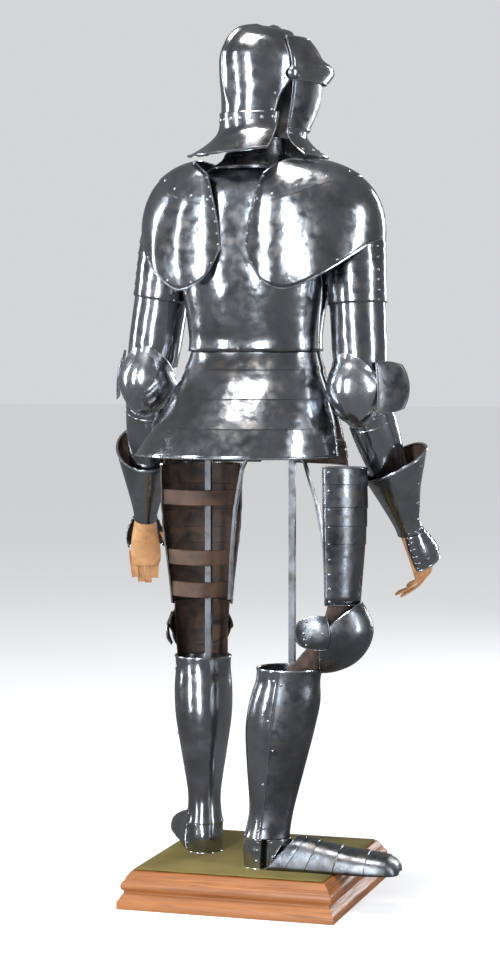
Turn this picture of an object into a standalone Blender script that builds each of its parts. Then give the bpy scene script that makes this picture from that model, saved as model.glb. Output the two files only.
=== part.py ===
"""Suit of plate armour on its display stand, in metres, +Z up.

The figure faces -Y and its right arm is at -X. The origin is on the plinth's underside, below the middle
of the board. Every plate is a thin wall: an open surface worked out from a short table of sections, then
given its thickness. Steps between lames are raised in the wall's outer points over a plain inside.
"""

import math
from collections import namedtuple

import bmesh
import bpy
from mathutils import Euler, Matrix, Vector
from mathutils.bvhtree import BVHTree

# Driving sizes
PLATE = 0.0018
GAP = 0.0004
LAME_STEP = 0.0022
PLINTH_SIDE_X = 0.478
PLINTH_SIDE_Y = 0.505
PLINTH_HIGH = 0.080
BAIZE_THICK = 0.003
FLOOR = PLINTH_HIGH + BAIZE_THICK
BAR = 0.013
STRAP_THICK = 0.005
STRAP_WIDE = 0.016

# Where the groups of plates stand: (x, y, z) and the turn about the upright, in degrees
TORSO_AT, TORSO_TURN = (0.0, 0.02, 0.0), -5
HELMET_AT, HELMET_TURN = (-0.028, 0.02, 1.774), -42
HELMET_WIDER = 1.06

Ring = namedtuple("Ring", "z x y wide front back")
Slice = namedtuple("Slice", "turn wide reach")
Arm = namedtuple("Arm", "side elbow shoulder turn bend twist")
Leg = namedtuple("Leg", "side foot turn lean knee thigh thigh_turn")

ARMS = (
    Arm("r", (-0.243, 0.045, 1.1073), (-0.226, 0.040, 1.430), -22, 26, 0),
    Arm("l", (0.259, -0.030, 1.124), (0.207, -0.020, 1.434), 2, 20, -62),
)
LEGS = (
    Leg("r", (-0.056, 0.112), -87, 7.4, (-0.186, 0.100, 0.596), (0.012, -0.030, 0.33), -82),
    Leg("l", (0.127, -0.011), 24, 4.4, (0.140, -0.033, 0.575), (0.0, 0.01, 1.0), 12),
)

for old in list(bpy.data.objects):
    bpy.data.objects.remove(old)

armour = bpy.data.collections.new("plate_armour_on_stand")
bpy.context.scene.collection.children.link(armour)


def material(name, colour, roughness, metallic):
    made = bpy.data.materials.new(name)
    made.use_nodes = True
    shader = made.node_tree.nodes["Principled BSDF"]
    shader.inputs["Base Color"].default_value = (*colour, 1)
    shader.inputs["Roughness"].default_value = roughness
    shader.inputs["Metallic"].default_value = metallic
    return made


STEEL = material("polished_steel", (0.32, 0.33, 0.34), 0.18, 1.0)
IRON = material("stand_iron", (0.16, 0.17, 0.16), 0.5, 0.8)
OAK = material("stained_oak", (0.36, 0.17, 0.08), 0.45, 0.0)
BAIZE = material("green_baize", (0.24, 0.21, 0.07), 0.9, 0.0)
LEATHER = material("tan_leather", (0.50, 0.30, 0.15), 0.7, 0.0)


def link(obj, parent=None):
    armour.objects.link(obj)
    obj.parent = parent
    return obj


def frame(name, at, turns=(0, 0, 0), parent=None):
    """An empty that carries a group of plates; turns are degrees about x, y and z."""
    obj = link(bpy.data.objects.new(name, None), parent)
    obj.location = at
    obj.rotation_euler = Euler([math.radians(a) for a in turns])
    return obj


def blend(rows, t):
    """The row at t, counted in rows from 0, on a smooth curve through all of them."""
    last = len(rows) - 1
    i = min(int(t), last - 1)
    s = t - i
    a, b, c, d = (rows[max(0, min(last, k))] for k in (i - 1, i, i + 1, i + 2))
    return [
        0.5 * (2 * q + s * (r - p) + s * s * (2 * p - 5 * q + 4 * r - w) + s**3 * (3 * q - p - 3 * r + w))
        for p, q, r, w in zip(a, b, c, d)
    ]


def curve(values, t):
    """One value at t from 0 to 1, on a smooth curve through evenly spaced values."""
    return blend([(v,) for v in values], t * (len(values) - 1))[0]


def signed_power(value, power):
    return math.copysign(abs(value) ** power, value)


def ring_skin(rings, start, end, square=2.0, grow=0.0):
    """A tube's surface: u turns from start to end degrees, 0 in front and 90 at +x; v climbs the rings.

    start and end are numbers or functions of v, and square is the superellipse's power.
    """

    def point(u, v):
        z, x, y, wide, front, back = blend(rings, v * (len(rings) - 1))
        first = start(v) if callable(start) else start
        last = end(v) if callable(end) else end
        angle = math.radians(first + (last - first) * u)
        s, c = math.sin(angle), math.cos(angle)
        deep = front if c > 0 else back
        return Vector(
            (
                x + (wide + grow) * signed_power(s, 2 / square),
                y - (deep + grow) * signed_power(c, 2 / square),
                z,
            )
        )

    return point


def slice_skin(slices, margin, square=2.0, grow=0.0):
    """A dome's surface, cut by planes through the x axis: u runs from +x to -x, v through the slices.

    A slice's turn is its angle above straight forward; margin is the angle left open round each pole.
    """

    def point(u, v):
        turn, wide, reach = blend(slices, v * (len(slices) - 1))
        edge = margin(v) if callable(margin) else margin
        t = math.radians(edge + (180 - 2 * edge) * u)
        x = (wide + grow) * signed_power(math.cos(t), 2 / square)
        r = (reach + grow) * abs(math.sin(t)) ** (2 / square)
        a = math.radians(turn)
        return Vector((x, -r * math.cos(a), r * math.sin(a)))

    return point


def plate(name, point, columns, rows, parent, look=STEEL, mirror=False, closed=False, relief=None, thick=PLATE):
    """A wall whose outer face is point(u, v); relief(u, v) raises the outer face over a plain inside."""
    spans = columns if closed else columns + 1
    stations = rows if isinstance(rows, (list, tuple)) else [j / rows for j in range(rows + 1)]
    places = [(i / columns, v) for v in stations for i in range(spans)]
    mesh = bpy.data.meshes.new(name)
    side = -1 if mirror else 1
    points = [Vector((side * p.x, p.y, p.z)) for p in (point(u, v) for u, v in places)]
    faces = []
    for j in range(len(stations) - 1):
        for i in range(columns):
            a, b = j * spans + i, j * spans + (i + 1) % spans
            quad = (a, b, b + spans, a + spans)
            faces.append(quad[::-1] if mirror else quad)
    mesh.from_pydata(points, [], faces)
    mesh.update()
    outward = [v.normal.copy() for v in mesh.vertices]
    obj = link(bpy.data.objects.new(name, mesh), parent)
    wall = obj.modifiers.new("wall", "SOLIDIFY")
    wall.thickness = thick
    wall.offset = -1
    wall.use_quality_normals = True
    if relief:
        bpy.context.view_layer.update()
        solid = bpy.data.meshes.new_from_object(obj.evaluated_get(bpy.context.evaluated_depsgraph_get()))
        obj.modifiers.clear()
        for k, (u, v) in enumerate(places):
            solid.vertices[k].co += outward[k] * relief(u, v)
        obj.data = solid
        solid.name = name
    obj.data.materials.append(look)
    obj.data.shade_smooth()
    obj.data.set_sharp_from_angle(angle=math.radians(40))
    return obj


def lames(edges, step=LAME_STEP, downward=True):
    """Steps along v: each lame's raised edge laps the next one. edges are the v of the lines between lames."""
    bounds = [0.0, *edges, 1.0]
    small = 1e-4

    def relief(u, v):
        for low, high in zip(bounds, bounds[1:]):
            if low - small <= v <= high + small:
                share = (v - low) / (high - low)
                if downward:
                    share = 1 - share
                return step * max(0.0, min(1.0, share))
        return 0.0

    return relief


def lame_rows(edges, between=1, sliver=0.004):
    """Stations along v with a row on each side of every line between lames."""
    bounds = [0.0, *edges, 1.0]
    found = []
    for k, (low, high) in enumerate(zip(bounds, bounds[1:])):
        first = low + (sliver if k else 0.0)
        found += [first + (high - first) * i / between for i in range(between + 1)]
    return found


# ---- Stand ----


def lofted(name, sections, parent, look, closed_ends=True):
    """A solid through a list of sections, each a list of points in the same order."""
    mesh = bpy.data.meshes.new(name)
    count = len(sections[0])
    faces = []
    for j in range(len(sections) - 1):
        for i in range(count):
            a, b = j * count + i, j * count + (i + 1) % count
            faces.append((a, b, b + count, a + count))
    if closed_ends:
        faces.append(tuple(range(count))[::-1])
        faces.append(tuple(range((len(sections) - 1) * count, len(sections) * count)))
    mesh.from_pydata([p for section in sections for p in section], [], faces)
    made = bmesh.new()
    made.from_mesh(mesh)
    bmesh.ops.recalc_face_normals(made, faces=made.faces)
    made.to_mesh(mesh)
    made.free()
    obj = link(bpy.data.objects.new(name, mesh), parent)
    obj.data.materials.append(look)
    return obj


def rectangle(x, y, z):
    return [(-x, -y, z), (x, -y, z), (x, y, z), (-x, y, z)]


def bar(name, path, wide, deep, look=IRON, parent=None, side=(1, 0, 0)):
    """A rectangular bar along a path of points; side is the direction its width runs in."""
    points = [Vector(p) for p in path]
    sections = []
    for i, p in enumerate(points):
        ahead = points[min(i + 1, len(points) - 1)] - points[max(i - 1, 0)]
        ahead.normalize()
        across = Vector(side)
        across = (across - ahead * across.dot(ahead)).normalized()
        other = ahead.cross(across)
        bend = 1.0
        if 0 < i < len(points) - 1:
            before = (points[i] - points[i - 1]).normalized()
            bend = 1 / max(0.5, before.dot(ahead))
        corners = ((-1, -1), (1, -1), (1, 1), (-1, 1))
        sections.append([p + across * (a * wide / 2) + other * (b * deep / 2 * bend) for a, b in corners])
    return lofted(name, sections, parent, look)


def plinth():
    hx, hy = PLINTH_SIDE_X / 2, PLINTH_SIDE_Y / 2
    profile = [
        (0.000, 0.000), (0.000, 0.016), (0.004, 0.021), (0.006, 0.028), (0.013, 0.034), (0.013, 0.038),
        (0.009, 0.042), (0.007, 0.050), (0.009, 0.058), (0.014, 0.062), (0.016, 0.068), (0.026, 0.080),
    ]
    board = [rectangle(hx - inset, hy - inset, z) for inset, z in profile]
    lofted("plinth", board, None, OAK)
    inset = 0.030
    baize = [rectangle(hx - inset, hy - inset, z) for z in (PLINTH_HIGH + 0.0003, FLOOR)]
    lofted("plinth_baize", baize, None, BAIZE)


def stand_bars():
    foot = FLOOR + 0.0003
    top = 1.010
    right = [(-0.052, 0.110, foot), (-0.058, 0.110, 0.230), (-0.108, 0.105, 0.480), (-0.108, 0.105, top)]
    left = [(0.128, -0.018, foot), (0.128, -0.018, 0.250), (0.119, -0.018, 0.480), (0.119, -0.018, top)]
    bar("upright_r", right, BAR, BAR, side=(0, 1, 0))
    bar("upright_l", left, BAR, BAR, side=(0, 1, 0))
    level = top + BAR / 2 + 0.0003
    bar("hip_bar", [(-0.120, 0.118, level), (-0.040, 0.020, level), (0.131, -0.022, level)], BAR, BAR, side=(0, 0, 1))
    crown = top - STRAP_THICK / 2
    arch = [(-0.162, 0.020, 0.655), (-0.156, 0.020, 0.760), (-0.138, 0.020, 0.860), (-0.112, 0.020, 0.945),
            (-0.080, 0.020, 0.990), (-0.050, 0.020, crown), (-0.030, 0.020, crown), (0.004, 0.020, 0.985),
            (0.030, 0.020, 0.930), (0.046, 0.020, 0.840), (0.054, 0.020, 0.740), (0.058, 0.020, 0.645)]
    bar("crotch_arch", arch, STRAP_WIDE, STRAP_THICK, side=(0, 1, 0))



# ---- Helmet: its rings are about the pivots' height ----

SKULL = [
    Ring(-0.086, 0, 0.012, 0.072, 0.080, 0.088), Ring(-0.045, 0, 0.006, 0.078, 0.095, 0.093),
    Ring(0.000, 0, 0.000, 0.082, 0.104, 0.103), Ring(0.045, 0, 0.000, 0.078, 0.100, 0.103),
    Ring(0.078, 0, 0.002, 0.063, 0.080, 0.087), Ring(0.099, 0, 0.004, 0.038, 0.052, 0.060),
    Ring(0.107, 0, 0.006, 0.010, 0.016, 0.020),
]


def wider(rings):
    """The helmet's rings, grown sideways so that it takes a padded head."""
    return [Ring(r.z, r.x, *(k * HELMET_WIDER for k in (r.y, r.wide, r.front, r.back))) for r in rings]


def tail_point(rings):
    """The neck plate: its rim rises from the nape to the sides."""
    skin = ring_skin(wider(rings), 96, 264)

    def point(u, v):
        p = skin(u, v)
        return Vector((p.x, p.y, p.z + 0.028 * (1 - v) * (1 + math.cos(math.atan2(p.x, -p.y)))))

    return point


def skull_comb(angle, height):
    """The ridge from brow to nape, in metres above the skull."""
    across = abs(math.sin(angle)) * (0.4 + 0.6 * height)
    return 0.005 * math.exp(-(across / 0.16) ** 2)


def skull_point(u, v):
    p = ring_skin(wider(SKULL), skull_open, lambda t: 360 - skull_open(t))(u, v)
    angle = math.atan2(p.x, -p.y)
    lift = skull_comb(angle, max(0.0, p.z / 0.11)) * min(1.0, max(0.0, (p.z + 0.06) / 0.05))
    return p + Vector((p.x, p.y, p.z + 0.03)).normalized() * lift


def skull_open(v):
    """Half of the face opening, in degrees, at a height on the skull."""
    return curve((100, 98, 84, 78, 70, 40, 0), v)


def helmet():
    at = frame("helmet", HELMET_AT, (0, 0, HELMET_TURN))
    plate("helm_skull", skull_point, 22, 9, at)
    clear = 2 * (PLATE + GAP)
    tail = [
        Ring(-0.172, 0, 0.062, 0.118, 0.10, 0.104), Ring(-0.150, 0, 0.040, 0.098, 0.09, 0.092),
        Ring(-0.125, 0, 0.022, 0.082, 0.08, 0.086), Ring(-0.100, 0, 0.013, 0.0765, 0.08, 0.0895),
        Ring(-0.080, 0, 0.011, 0.0767, 0.08, 0.0926),
    ]
    plate("helm_tail", tail_point(tail), 12, 4, at)
    bevor = [
        Ring(-0.128, 0, 0.006, 0.0690, 0.088, 0.085), Ring(-0.100, 0, 0.004, 0.0750, 0.102, 0.090),
        Ring(-0.060, 0, 0.002, 0.0815, 0.118, 0.097), Ring(-0.020, 0, 0.000, 0.0846, 0.122, 0.104),
        Ring(0.012, 0, 0.000, 0.0846, 0.116, 0.104),
    ]
    plate("helm_bevor", ring_skin(wider(bevor), -86, 86, 1.9), 14, 5, at)
    collar = [
        Ring(-0.170, 0, -0.012, 0.106, 0.118, 0.1), Ring(-0.150, 0, -0.002, 0.084, 0.102, 0.1),
        Ring(-0.126, 0, 0.006, 0.0718, 0.0912, 0.1), Ring(-0.112, 0, 0.005, 0.0752, 0.1000, 0.1),
    ]
    plate("helm_bevor_collar", ring_skin(wider(collar), -84, 84, 1.9), 14, 3, at)
    visor = [
        Ring(-0.012, 0, 0.000, 0.0876, 0.134, 0.11), Ring(0.010, 0, 0.000, 0.0876, 0.152, 0.11),
        Ring(0.026, 0, 0.000, 0.0872, 0.146, 0.11), Ring(0.040, 0, 0.000, 0.0848, 0.124, 0.11),
        Ring(0.062, 0, 0.002, 0.0780, 0.112, 0.10), Ring(0.082, 0, 0.003, 0.0690, 0.0960, 0.09),
    ]
    plate("helm_visor", ring_skin(wider(visor), -88, 88, 1.9), 14, 6, at)
    for mark, side in (("r", -1), ("l", 1)):
        hub = frame(f"helm_hub_{mark}", (side * 0.0934, -0.008, 0.002), (0, side * 90, 0), at)
        cap = [Ring(0, 0, 0, 0.014, 0.014, 0.014), Ring(0.003, 0, 0, 0.0125, 0.0125, 0.0125),
               Ring(0.0062, 0, 0, 0.008, 0.008, 0.008), Ring(0.0075, 0, 0, 0.003, 0.003, 0.003)]
        turned = [[(r.wide * math.cos(a), r.wide * math.sin(a), r.z) for a in
                   (math.tau * k / 20 for k in range(12))] for r in cap]
        lofted(f"helm_bolt_{mark}", turned, hub, STEEL)


# ---- Trunk: one table of rings from hips to neck; plates are parts of it ----

BODY = [
    Ring(0.962, 0.030, 0.006, 0.236, 0.170, 0.220), Ring(1.020, 0.018, 0.002, 0.216, 0.156, 0.194),
    Ring(1.080, 0.008, 0.000, 0.190, 0.138, 0.158), Ring(1.140, 0.002, 0.000, 0.164, 0.120, 0.120),
    Ring(1.195, 0.000, 0.000, 0.149, 0.108, 0.098), Ring(1.250, 0.000, 0.000, 0.151, 0.120, 0.108),
    Ring(1.320, 0.000, 0.000, 0.161, 0.142, 0.122), Ring(1.400, 0.000, 0.000, 0.172, 0.150, 0.128),
    Ring(1.470, 0.000, 0.002, 0.174, 0.138, 0.122), Ring(1.530, 0.000, 0.006, 0.160, 0.112, 0.106),
    Ring(1.568, -0.003, 0.012, 0.118, 0.086, 0.084), Ring(1.594, -0.008, 0.014, 0.076, 0.070, 0.066),
    Ring(1.640, -0.018, 0.008, 0.060, 0.062, 0.058),
]


def body(low, high, start, end, grow=0.0, square=2.2):
    """Part of the trunk between two row numbers of its table."""
    inner = ring_skin(BODY, lambda t: edge(start, t, low, high), lambda t: edge(end, t, low, high), square, grow)
    last = len(BODY) - 1
    return lambda u, v: inner(u, (low + (high - low) * v) / last)


def edge(value, t, low, high):
    if not callable(value):
        return value
    return value((t * (len(BODY) - 1) - low) / (high - low))


def trunk():
    at = frame("trunk", TORSO_AT, (0, 0, TORSO_TURN))
    back_cut = (90.3, 90.9, 96, 116, 128, 132, 134)
    front_cut = (89.7, 88.9, 78, 62, 52, 46, 44)
    plate("backplate", body(3.85, 10.4, lambda v: curve(back_cut, v), lambda v: 360 - curve(back_cut, v)),
          16, 10, at)
    plate("breastplate", body(3.85, 10.4, lambda v: -curve(front_cut, v), lambda v: curve(front_cut, v)),
          14, 10, at)
    under = -(PLATE + GAP + 0.0018)
    lines = (0.25, 0.5, 0.75)
    rows = lame_rows(lines, 1)
    plate("culet", body(0, 4.15, 94, 266, under - LAME_STEP, 2.1), 16, rows, at, relief=lames(lines))
    lines = (0.34, 0.67)
    plate("fauld", body(0.6, 4.15, -86, 86, under - LAME_STEP, 2.1), 14, lame_rows(lines, 1), at,
          relief=lames(lines))
    for mark, first, last in (("r", -76, -8), ("l", 8, 76)):
        tasset = [Ring(0.940, 0.020, 0.000, 0.220, 0.170, 0.2), Ring(0.966, 0.021, 0.002, 0.222, 0.165, 0.2),
                  Ring(0.9931 + 0.0003 * (mark == "r"), 0.022, 0.003, 0.2195, 0.1570, 0.2)]
        lines = (0.36, 0.70)
        plate(f"tasset_{mark}", ring_skin(tasset, first, last, 2.1, 0.0012), 6, lame_rows(lines, 1), at,
              relief=lames(lines))
    neck = body(10.42, 12, 0, 360, 0.0, 2.2)
    lines = (0.5, 0.75)
    plate("gorget_back", lambda u, v: neck(0.2507 + 0.4986 * u, v), 12, lame_rows(lines, 1), at, relief=lames(lines, 0.0015))
    plate("gorget_front", lambda u, v: neck(-0.2493 + 0.4986 * u, v), 12, lame_rows(lines, 1), at, relief=lames(lines, 0.0015))
    return at


# ---- Shoulders and arms: tables have +x outward, and the right side is mirrored ----


def patch_skin(rows):
    """A surface of meridians: each row is four control points, from the lower edge to the upper one."""

    def point(u, v):
        c = blend([[k for p in row for k in p] for row in rows], u * (len(rows) - 1))
        w = ((1 - v) ** 3, 3 * v * (1 - v) ** 2, 3 * v * v * (1 - v), v**3)
        return Vector([sum(w[i] * c[3 * i + k] for i in range(4)) for k in range(3)])

    return point


def aim(name, at, up, front, parent=None):
    """An empty whose z points along up and whose -y points as near to front as it can."""
    z = Vector(up).normalized()
    y = -Vector(front)
    y = (y - z * y.dot(z)).normalized()
    x = y.cross(z)
    obj = frame(name, at, parent=parent)
    obj.rotation_euler = Matrix((x, y, z)).transposed().to_euler()
    return obj


def heading(degrees):
    """The level direction that far round from -y towards +x."""
    a = math.radians(degrees)
    return Vector((math.sin(a), -math.cos(a), 0))


PAULDRON = [
    ((0.070, -0.150, 1.455), (0.070, -0.158, 1.500), (0.075, -0.135, 1.550), (0.090, -0.096, 1.582)),
    ((0.130, -0.150, 1.425), (0.138, -0.162, 1.490), (0.125, -0.120, 1.562), (0.108, -0.078, 1.590)),
    ((0.195, -0.112, 1.432), (0.208, -0.128, 1.490), (0.190, -0.095, 1.570), (0.120, -0.050, 1.596)),
    ((0.246, -0.035, 1.440), (0.256, -0.035, 1.500), (0.225, -0.028, 1.582), (0.126, -0.005, 1.600)),
    ((0.246, 0.050, 1.434), (0.254, 0.050, 1.500), (0.222, 0.045, 1.582), (0.124, 0.032, 1.598)),
    ((0.190, 0.122, 1.365), (0.204, 0.126, 1.460), (0.180, 0.100, 1.570), (0.115, 0.066, 1.594)),
    ((0.125, 0.136, 1.318), (0.132, 0.160, 1.420), (0.125, 0.140, 1.545), (0.100, 0.092, 1.588)),
    ((0.066, 0.138, 1.340), (0.062, 0.148, 1.420), (0.070, 0.144, 1.522), (0.082, 0.106, 1.576)),
    ((0.030, 0.1288, 1.400), (0.028, 0.130, 1.440), (0.042, 0.132, 1.502), (0.064, 0.114, 1.562)),
]
PAULDRON_LINES = (0.62,)


def pauldron_rows(out, drop):
    """The pauldron's rows with its outer meridians moved out, and their lower edge down, over a spread arm."""
    rows = []
    for row in PAULDRON:
        far = [min(1.0, max(0.0, (x - 0.13) / 0.11)) for x, y, z in row]
        rows.append([(x + out * f, y, z - drop * f * (i == 0)) for i, ((x, y, z), f) in enumerate(zip(row, far))])
    return rows


PAULDRON_OUT = {"r": (0.038, 0.018), "l": (-0.002, 0.0)}

UPPER_ARM = [Ring(0.035, 0, 0, 0.0580, 0.0580, 0.0580), Ring(0.090, 0, 0, 0.0610, 0.0610, 0.0610),
             Ring(0.180, 0, 0, 0.0620, 0.0620, 0.0620), Ring(0.250, 0, 0, 0.0640, 0.0645, 0.0645),
             Ring(0.312, 0, 0, 0.0650, 0.0670, 0.0670)]
LOWER_ARM = [Ring(-0.250, 0, 0, 0.0390, 0.0390, 0.0390), Ring(-0.190, 0, 0, 0.0425, 0.0425, 0.0425),
             Ring(-0.110, 0, 0, 0.0500, 0.0500, 0.0500), Ring(-0.040, 0, 0, 0.0515, 0.0515, 0.0515)]
ARM_LINES = (0.14, 0.30, 0.46, 0.64, 0.82)


def couter_slices(bend):
    """Slices of the elbow cop; the last ones sit against the forearm, which hangs bend degrees forward."""
    top = [Slice(128, 0.0590, 0.0945), Slice(138, 0.0600, 0.0870), Slice(155, 0.0640, 0.0850),
           Slice(180, 0.0660, 0.0870)]
    low = [Slice(205 + bend, 0.0620, 0.0825), Slice(222 + bend, 0.0575, 0.0815),
           Slice(232 + bend, 0.0560, 0.0827 + 0.00006 * bend)]
    return top + low


WING = [
    ((0.0600, 0.028, 0.052), (0.070, 0.000, 0.056), (0.070, -0.025, 0.052), (0.078, -0.042, 0.046)),
    ((0.0630, 0.030, 0.026), (0.077, 0.000, 0.028), (0.076, -0.035, 0.028), (0.082, -0.052, 0.026)),
    ((0.0640, 0.032, 0.000), (0.080, 0.000, 0.000), (0.078, -0.038, 0.000), (0.084, -0.056, 0.000)),
    ((0.0630, 0.030, -0.026), (0.077, 0.000, -0.028), (0.076, -0.035, -0.028), (0.082, -0.052, -0.026)),
    ((0.0600, 0.028, -0.052), (0.070, 0.000, -0.056), (0.070, -0.025, -0.052), (0.078, -0.042, -0.046)),
]

CUFF = [Ring(-0.351, 0.002, 0, 0.0300, 0.0270, 0.0270), Ring(-0.335, 0.002, 0, 0.0300, 0.0275, 0.0275),
        Ring(-0.300, 0.004, 0, 0.0365, 0.0360, 0.0360), Ring(-0.250, 0.008, 0, 0.0500, 0.0500, 0.0500),
        Ring(-0.200, 0.015, 0, 0.0680, 0.0660, 0.0640), Ring(-0.165, 0.022, 0, 0.0780, 0.0740, 0.0700)]


def cuff_point(u, v):
    rise = 0.5 + 0.5 * math.cos(math.tau * u - math.radians(75))
    return ring_skin(CUFF, 0, 360)(u, v * (0.78 + 0.22 * rise))


HAND = [Ring(-0.430, 0.010, -0.004, 0.0300, 0.0440, 0.0400), Ring(-0.405, 0.010, -0.002, 0.0340, 0.0460, 0.0420),
        Ring(-0.375, 0.006, 0.000, 0.0330, 0.0380, 0.0360), Ring(-0.3515, 0.0025, 0.000, 0.0302, 0.0275, 0.0275)]
GLOVE = [Ring(-0.505, -0.020, -0.006, 0.0100, 0.0300, 0.0280), Ring(-0.500, -0.018, -0.006, 0.0140, 0.0340, 0.0320),
         Ring(-0.465, -0.006, -0.005, 0.0170, 0.0380, 0.0360), Ring(-0.425, 0.006, -0.002, 0.0210, 0.0390, 0.0360),
         Ring(-0.385, 0.003, 0.000, 0.0230, 0.0300, 0.0290), Ring(-0.352, 0.002, 0.000, 0.0240, 0.0240, 0.0240),
         Ring(-0.320, 0.002, 0.000, 0.0240, 0.0240, 0.0240),
         Ring(-0.280, 0.001, 0.000, 0.0250, 0.0250, 0.0250)]


def arm(spec, trunk_frame):
    mark = spec.side
    flip = mark == "r"
    elbow, shoulder = Vector(spec.elbow), Vector(spec.shoulder)
    front = heading(spec.turn)
    at = aim(f"arm_{mark}", elbow, shoulder - elbow, front)
    pad = patch_skin(pauldron_rows(*PAULDRON_OUT[mark]))
    plate(f"pauldron_{mark}", pad, 18, lame_rows(PAULDRON_LINES, 4), trunk_frame, mirror=flip,
          relief=lames(PAULDRON_LINES, 0.0016))
    whole = ring_skin(UPPER_ARM, 0, 360, grow=-(PLATE + GAP))
    plate(f"cannon_upper_{mark}", lambda u, v: whole(u, 0.55 * v), 14, 3, at, mirror=flip, closed=True)
    upper = ring_skin(UPPER_ARM, 0, 360)
    plate(f"arm_lames_{mark}", lambda u, v: upper(u, 0.5 + 0.5 * v), 14, lame_rows(ARM_LINES, 1), at,
          mirror=flip, closed=True, relief=lames(ARM_LINES, 0.0016))
    slices = couter_slices(spec.bend)
    plate(f"couter_{mark}", slice_skin(slices, 6), 10, 8, at, mirror=flip)
    plate(f"couter_wing_{mark}", patch_skin(WING), 6, 4, at, mirror=flip)
    fore = frame(f"forearm_{mark}", (0, 0, 0), (-spec.bend, 0, 0), at)
    wrist = frame(f"wrist_{mark}", (0, 0, 0), (0, 0, spec.twist), fore)
    plate(f"cannon_lower_{mark}", ring_skin(LOWER_ARM, 0, 360), 14, 3, fore, mirror=flip, closed=True)
    plate(f"gauntlet_cuff_{mark}", cuff_point, 16, 5, wrist, mirror=flip, closed=True)
    lines = (0.28, 0.46, 0.64, 0.82)
    plate(f"gauntlet_lames_{mark}", ring_skin(HAND, 5, 175), 8, lame_rows(lines, 1), wrist, mirror=flip,
          relief=lames(lines, 0.0014, False))
    hand = []
    skin = ring_skin(GLOVE, 0, 360)
    count = 12
    for j in range(9):
        ring = [skin(i / count, j / 8) for i in range(count)]
        hand.append([Vector((-p.x, p.y, p.z)) if flip else p for p in ring])
    lofted(f"glove_{mark}", hand, wrist, LEATHER)


# ---- Legs: +x is outward for both, and the right one is mirrored ----

SHIN = [Ring(0.148, 0, 0, 0.0420, 0.0570, 0.0440), Ring(0.170, 0, 0, 0.0375, 0.0560, 0.0400),
        Ring(0.216, 0, 0, 0.0370, 0.0590, 0.0400), Ring(0.300, 0, 0, 0.0500, 0.0700, 0.0560),
        Ring(0.380, 0, 0, 0.0620, 0.0800, 0.0690), Ring(0.440, 0, 0, 0.0640, 0.0850, 0.0680),
        Ring(0.485, 0, 0, 0.0610, 0.0790, 0.0600), Ring(0.512, 0, 0, 0.0620, 0.0800, 0.0610)]
ANKLE_Z = 0.216
HEEL = [Ring(0.0, 0, 0, 0.0400, 0.045, 0.0450), Ring(0.030, 0, 0, 0.0410, 0.045, 0.0480),
        Ring(0.050, 0, 0, 0.0405, 0.045, 0.0460), Ring(0.0638, 0, 0, 0.0420, 0.047, 0.0440)]
TOES = [(-0.287, 0.018, 0.004), (-0.284, 0.036, 0.020), (-0.268, 0.048, 0.034), (-0.235, 0.053, 0.041),
        (-0.180, 0.051, 0.048), (-0.125, 0.046, 0.058), (-0.090, 0.043, 0.066), (-0.066, 0.0415, 0.068)]
TOE_LINES = (0.30, 0.46, 0.61, 0.75, 0.88)
THIGH = [Ring(0.0520, 0, 0, 0.0660, 0.0680, 0.0700), Ring(0.110, 0, 0, 0.0720, 0.0740, 0.0740),
         Ring(0.180, 0, 0, 0.0810, 0.0810, 0.0810), Ring(0.260, 0, 0, 0.0880, 0.0860, 0.0860),
         Ring(0.332, 0, 0, 0.0900, 0.0870, 0.0860)]
CUISSE_TOP = 0.936
THIGH_LINES = (0.50, 0.62, 0.74, 0.87)


def foot_point(u, v):
    y, wide, high = blend(TOES, v * (len(TOES) - 1))
    angle = math.pi * u
    rise = math.sin(angle) ** 0.8
    return Vector((wide * signed_power(math.cos(angle), 0.9), y + 0.062 * v**3 * (1 - rise), 0.0003 + high * rise))


def poleyn_slices(ahead, drop):
    """Slices of the knee cop; ahead and drop place the greave's upper rim
    behind and below the knee."""
    forward = 0.0823 - ahead
    forward -= PLATE * min(1.0, max(0.0, 0.7 - forward / drop))
    low = math.degrees(math.atan2(-drop, forward))
    return [Slice(low, 0.0640, math.hypot(drop, forward)), Slice(low * 0.72, 0.0655, 0.088),
            Slice(low * 0.36, 0.0680, 0.091), Slice(0, 0.0700, 0.096), Slice(20, 0.0700, 0.094),
            Slice(40, 0.0690, 0.0925)]


KNEE_WING = [
    ((0.0652, -0.012, 0.034), (0.071, 0.006, 0.038), (0.070, 0.028, 0.036), (0.076, 0.044, 0.026)),
    ((0.0710, -0.018, 0.017), (0.078, 0.006, 0.020), (0.074, 0.034, 0.020), (0.082, 0.050, 0.016)),
    ((0.0722, -0.020, 0.000), (0.080, 0.006, 0.000), (0.075, 0.036, 0.000), (0.083, 0.053, 0.000)),
    ((0.0710, -0.018, -0.017), (0.078, 0.006, -0.020), (0.074, 0.034, -0.020), (0.082, 0.050, -0.016)),
    ((0.0652, -0.012, -0.034), (0.071, 0.006, -0.038), (0.070, 0.028, -0.036), (0.076, 0.044, -0.026)),
]


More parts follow.
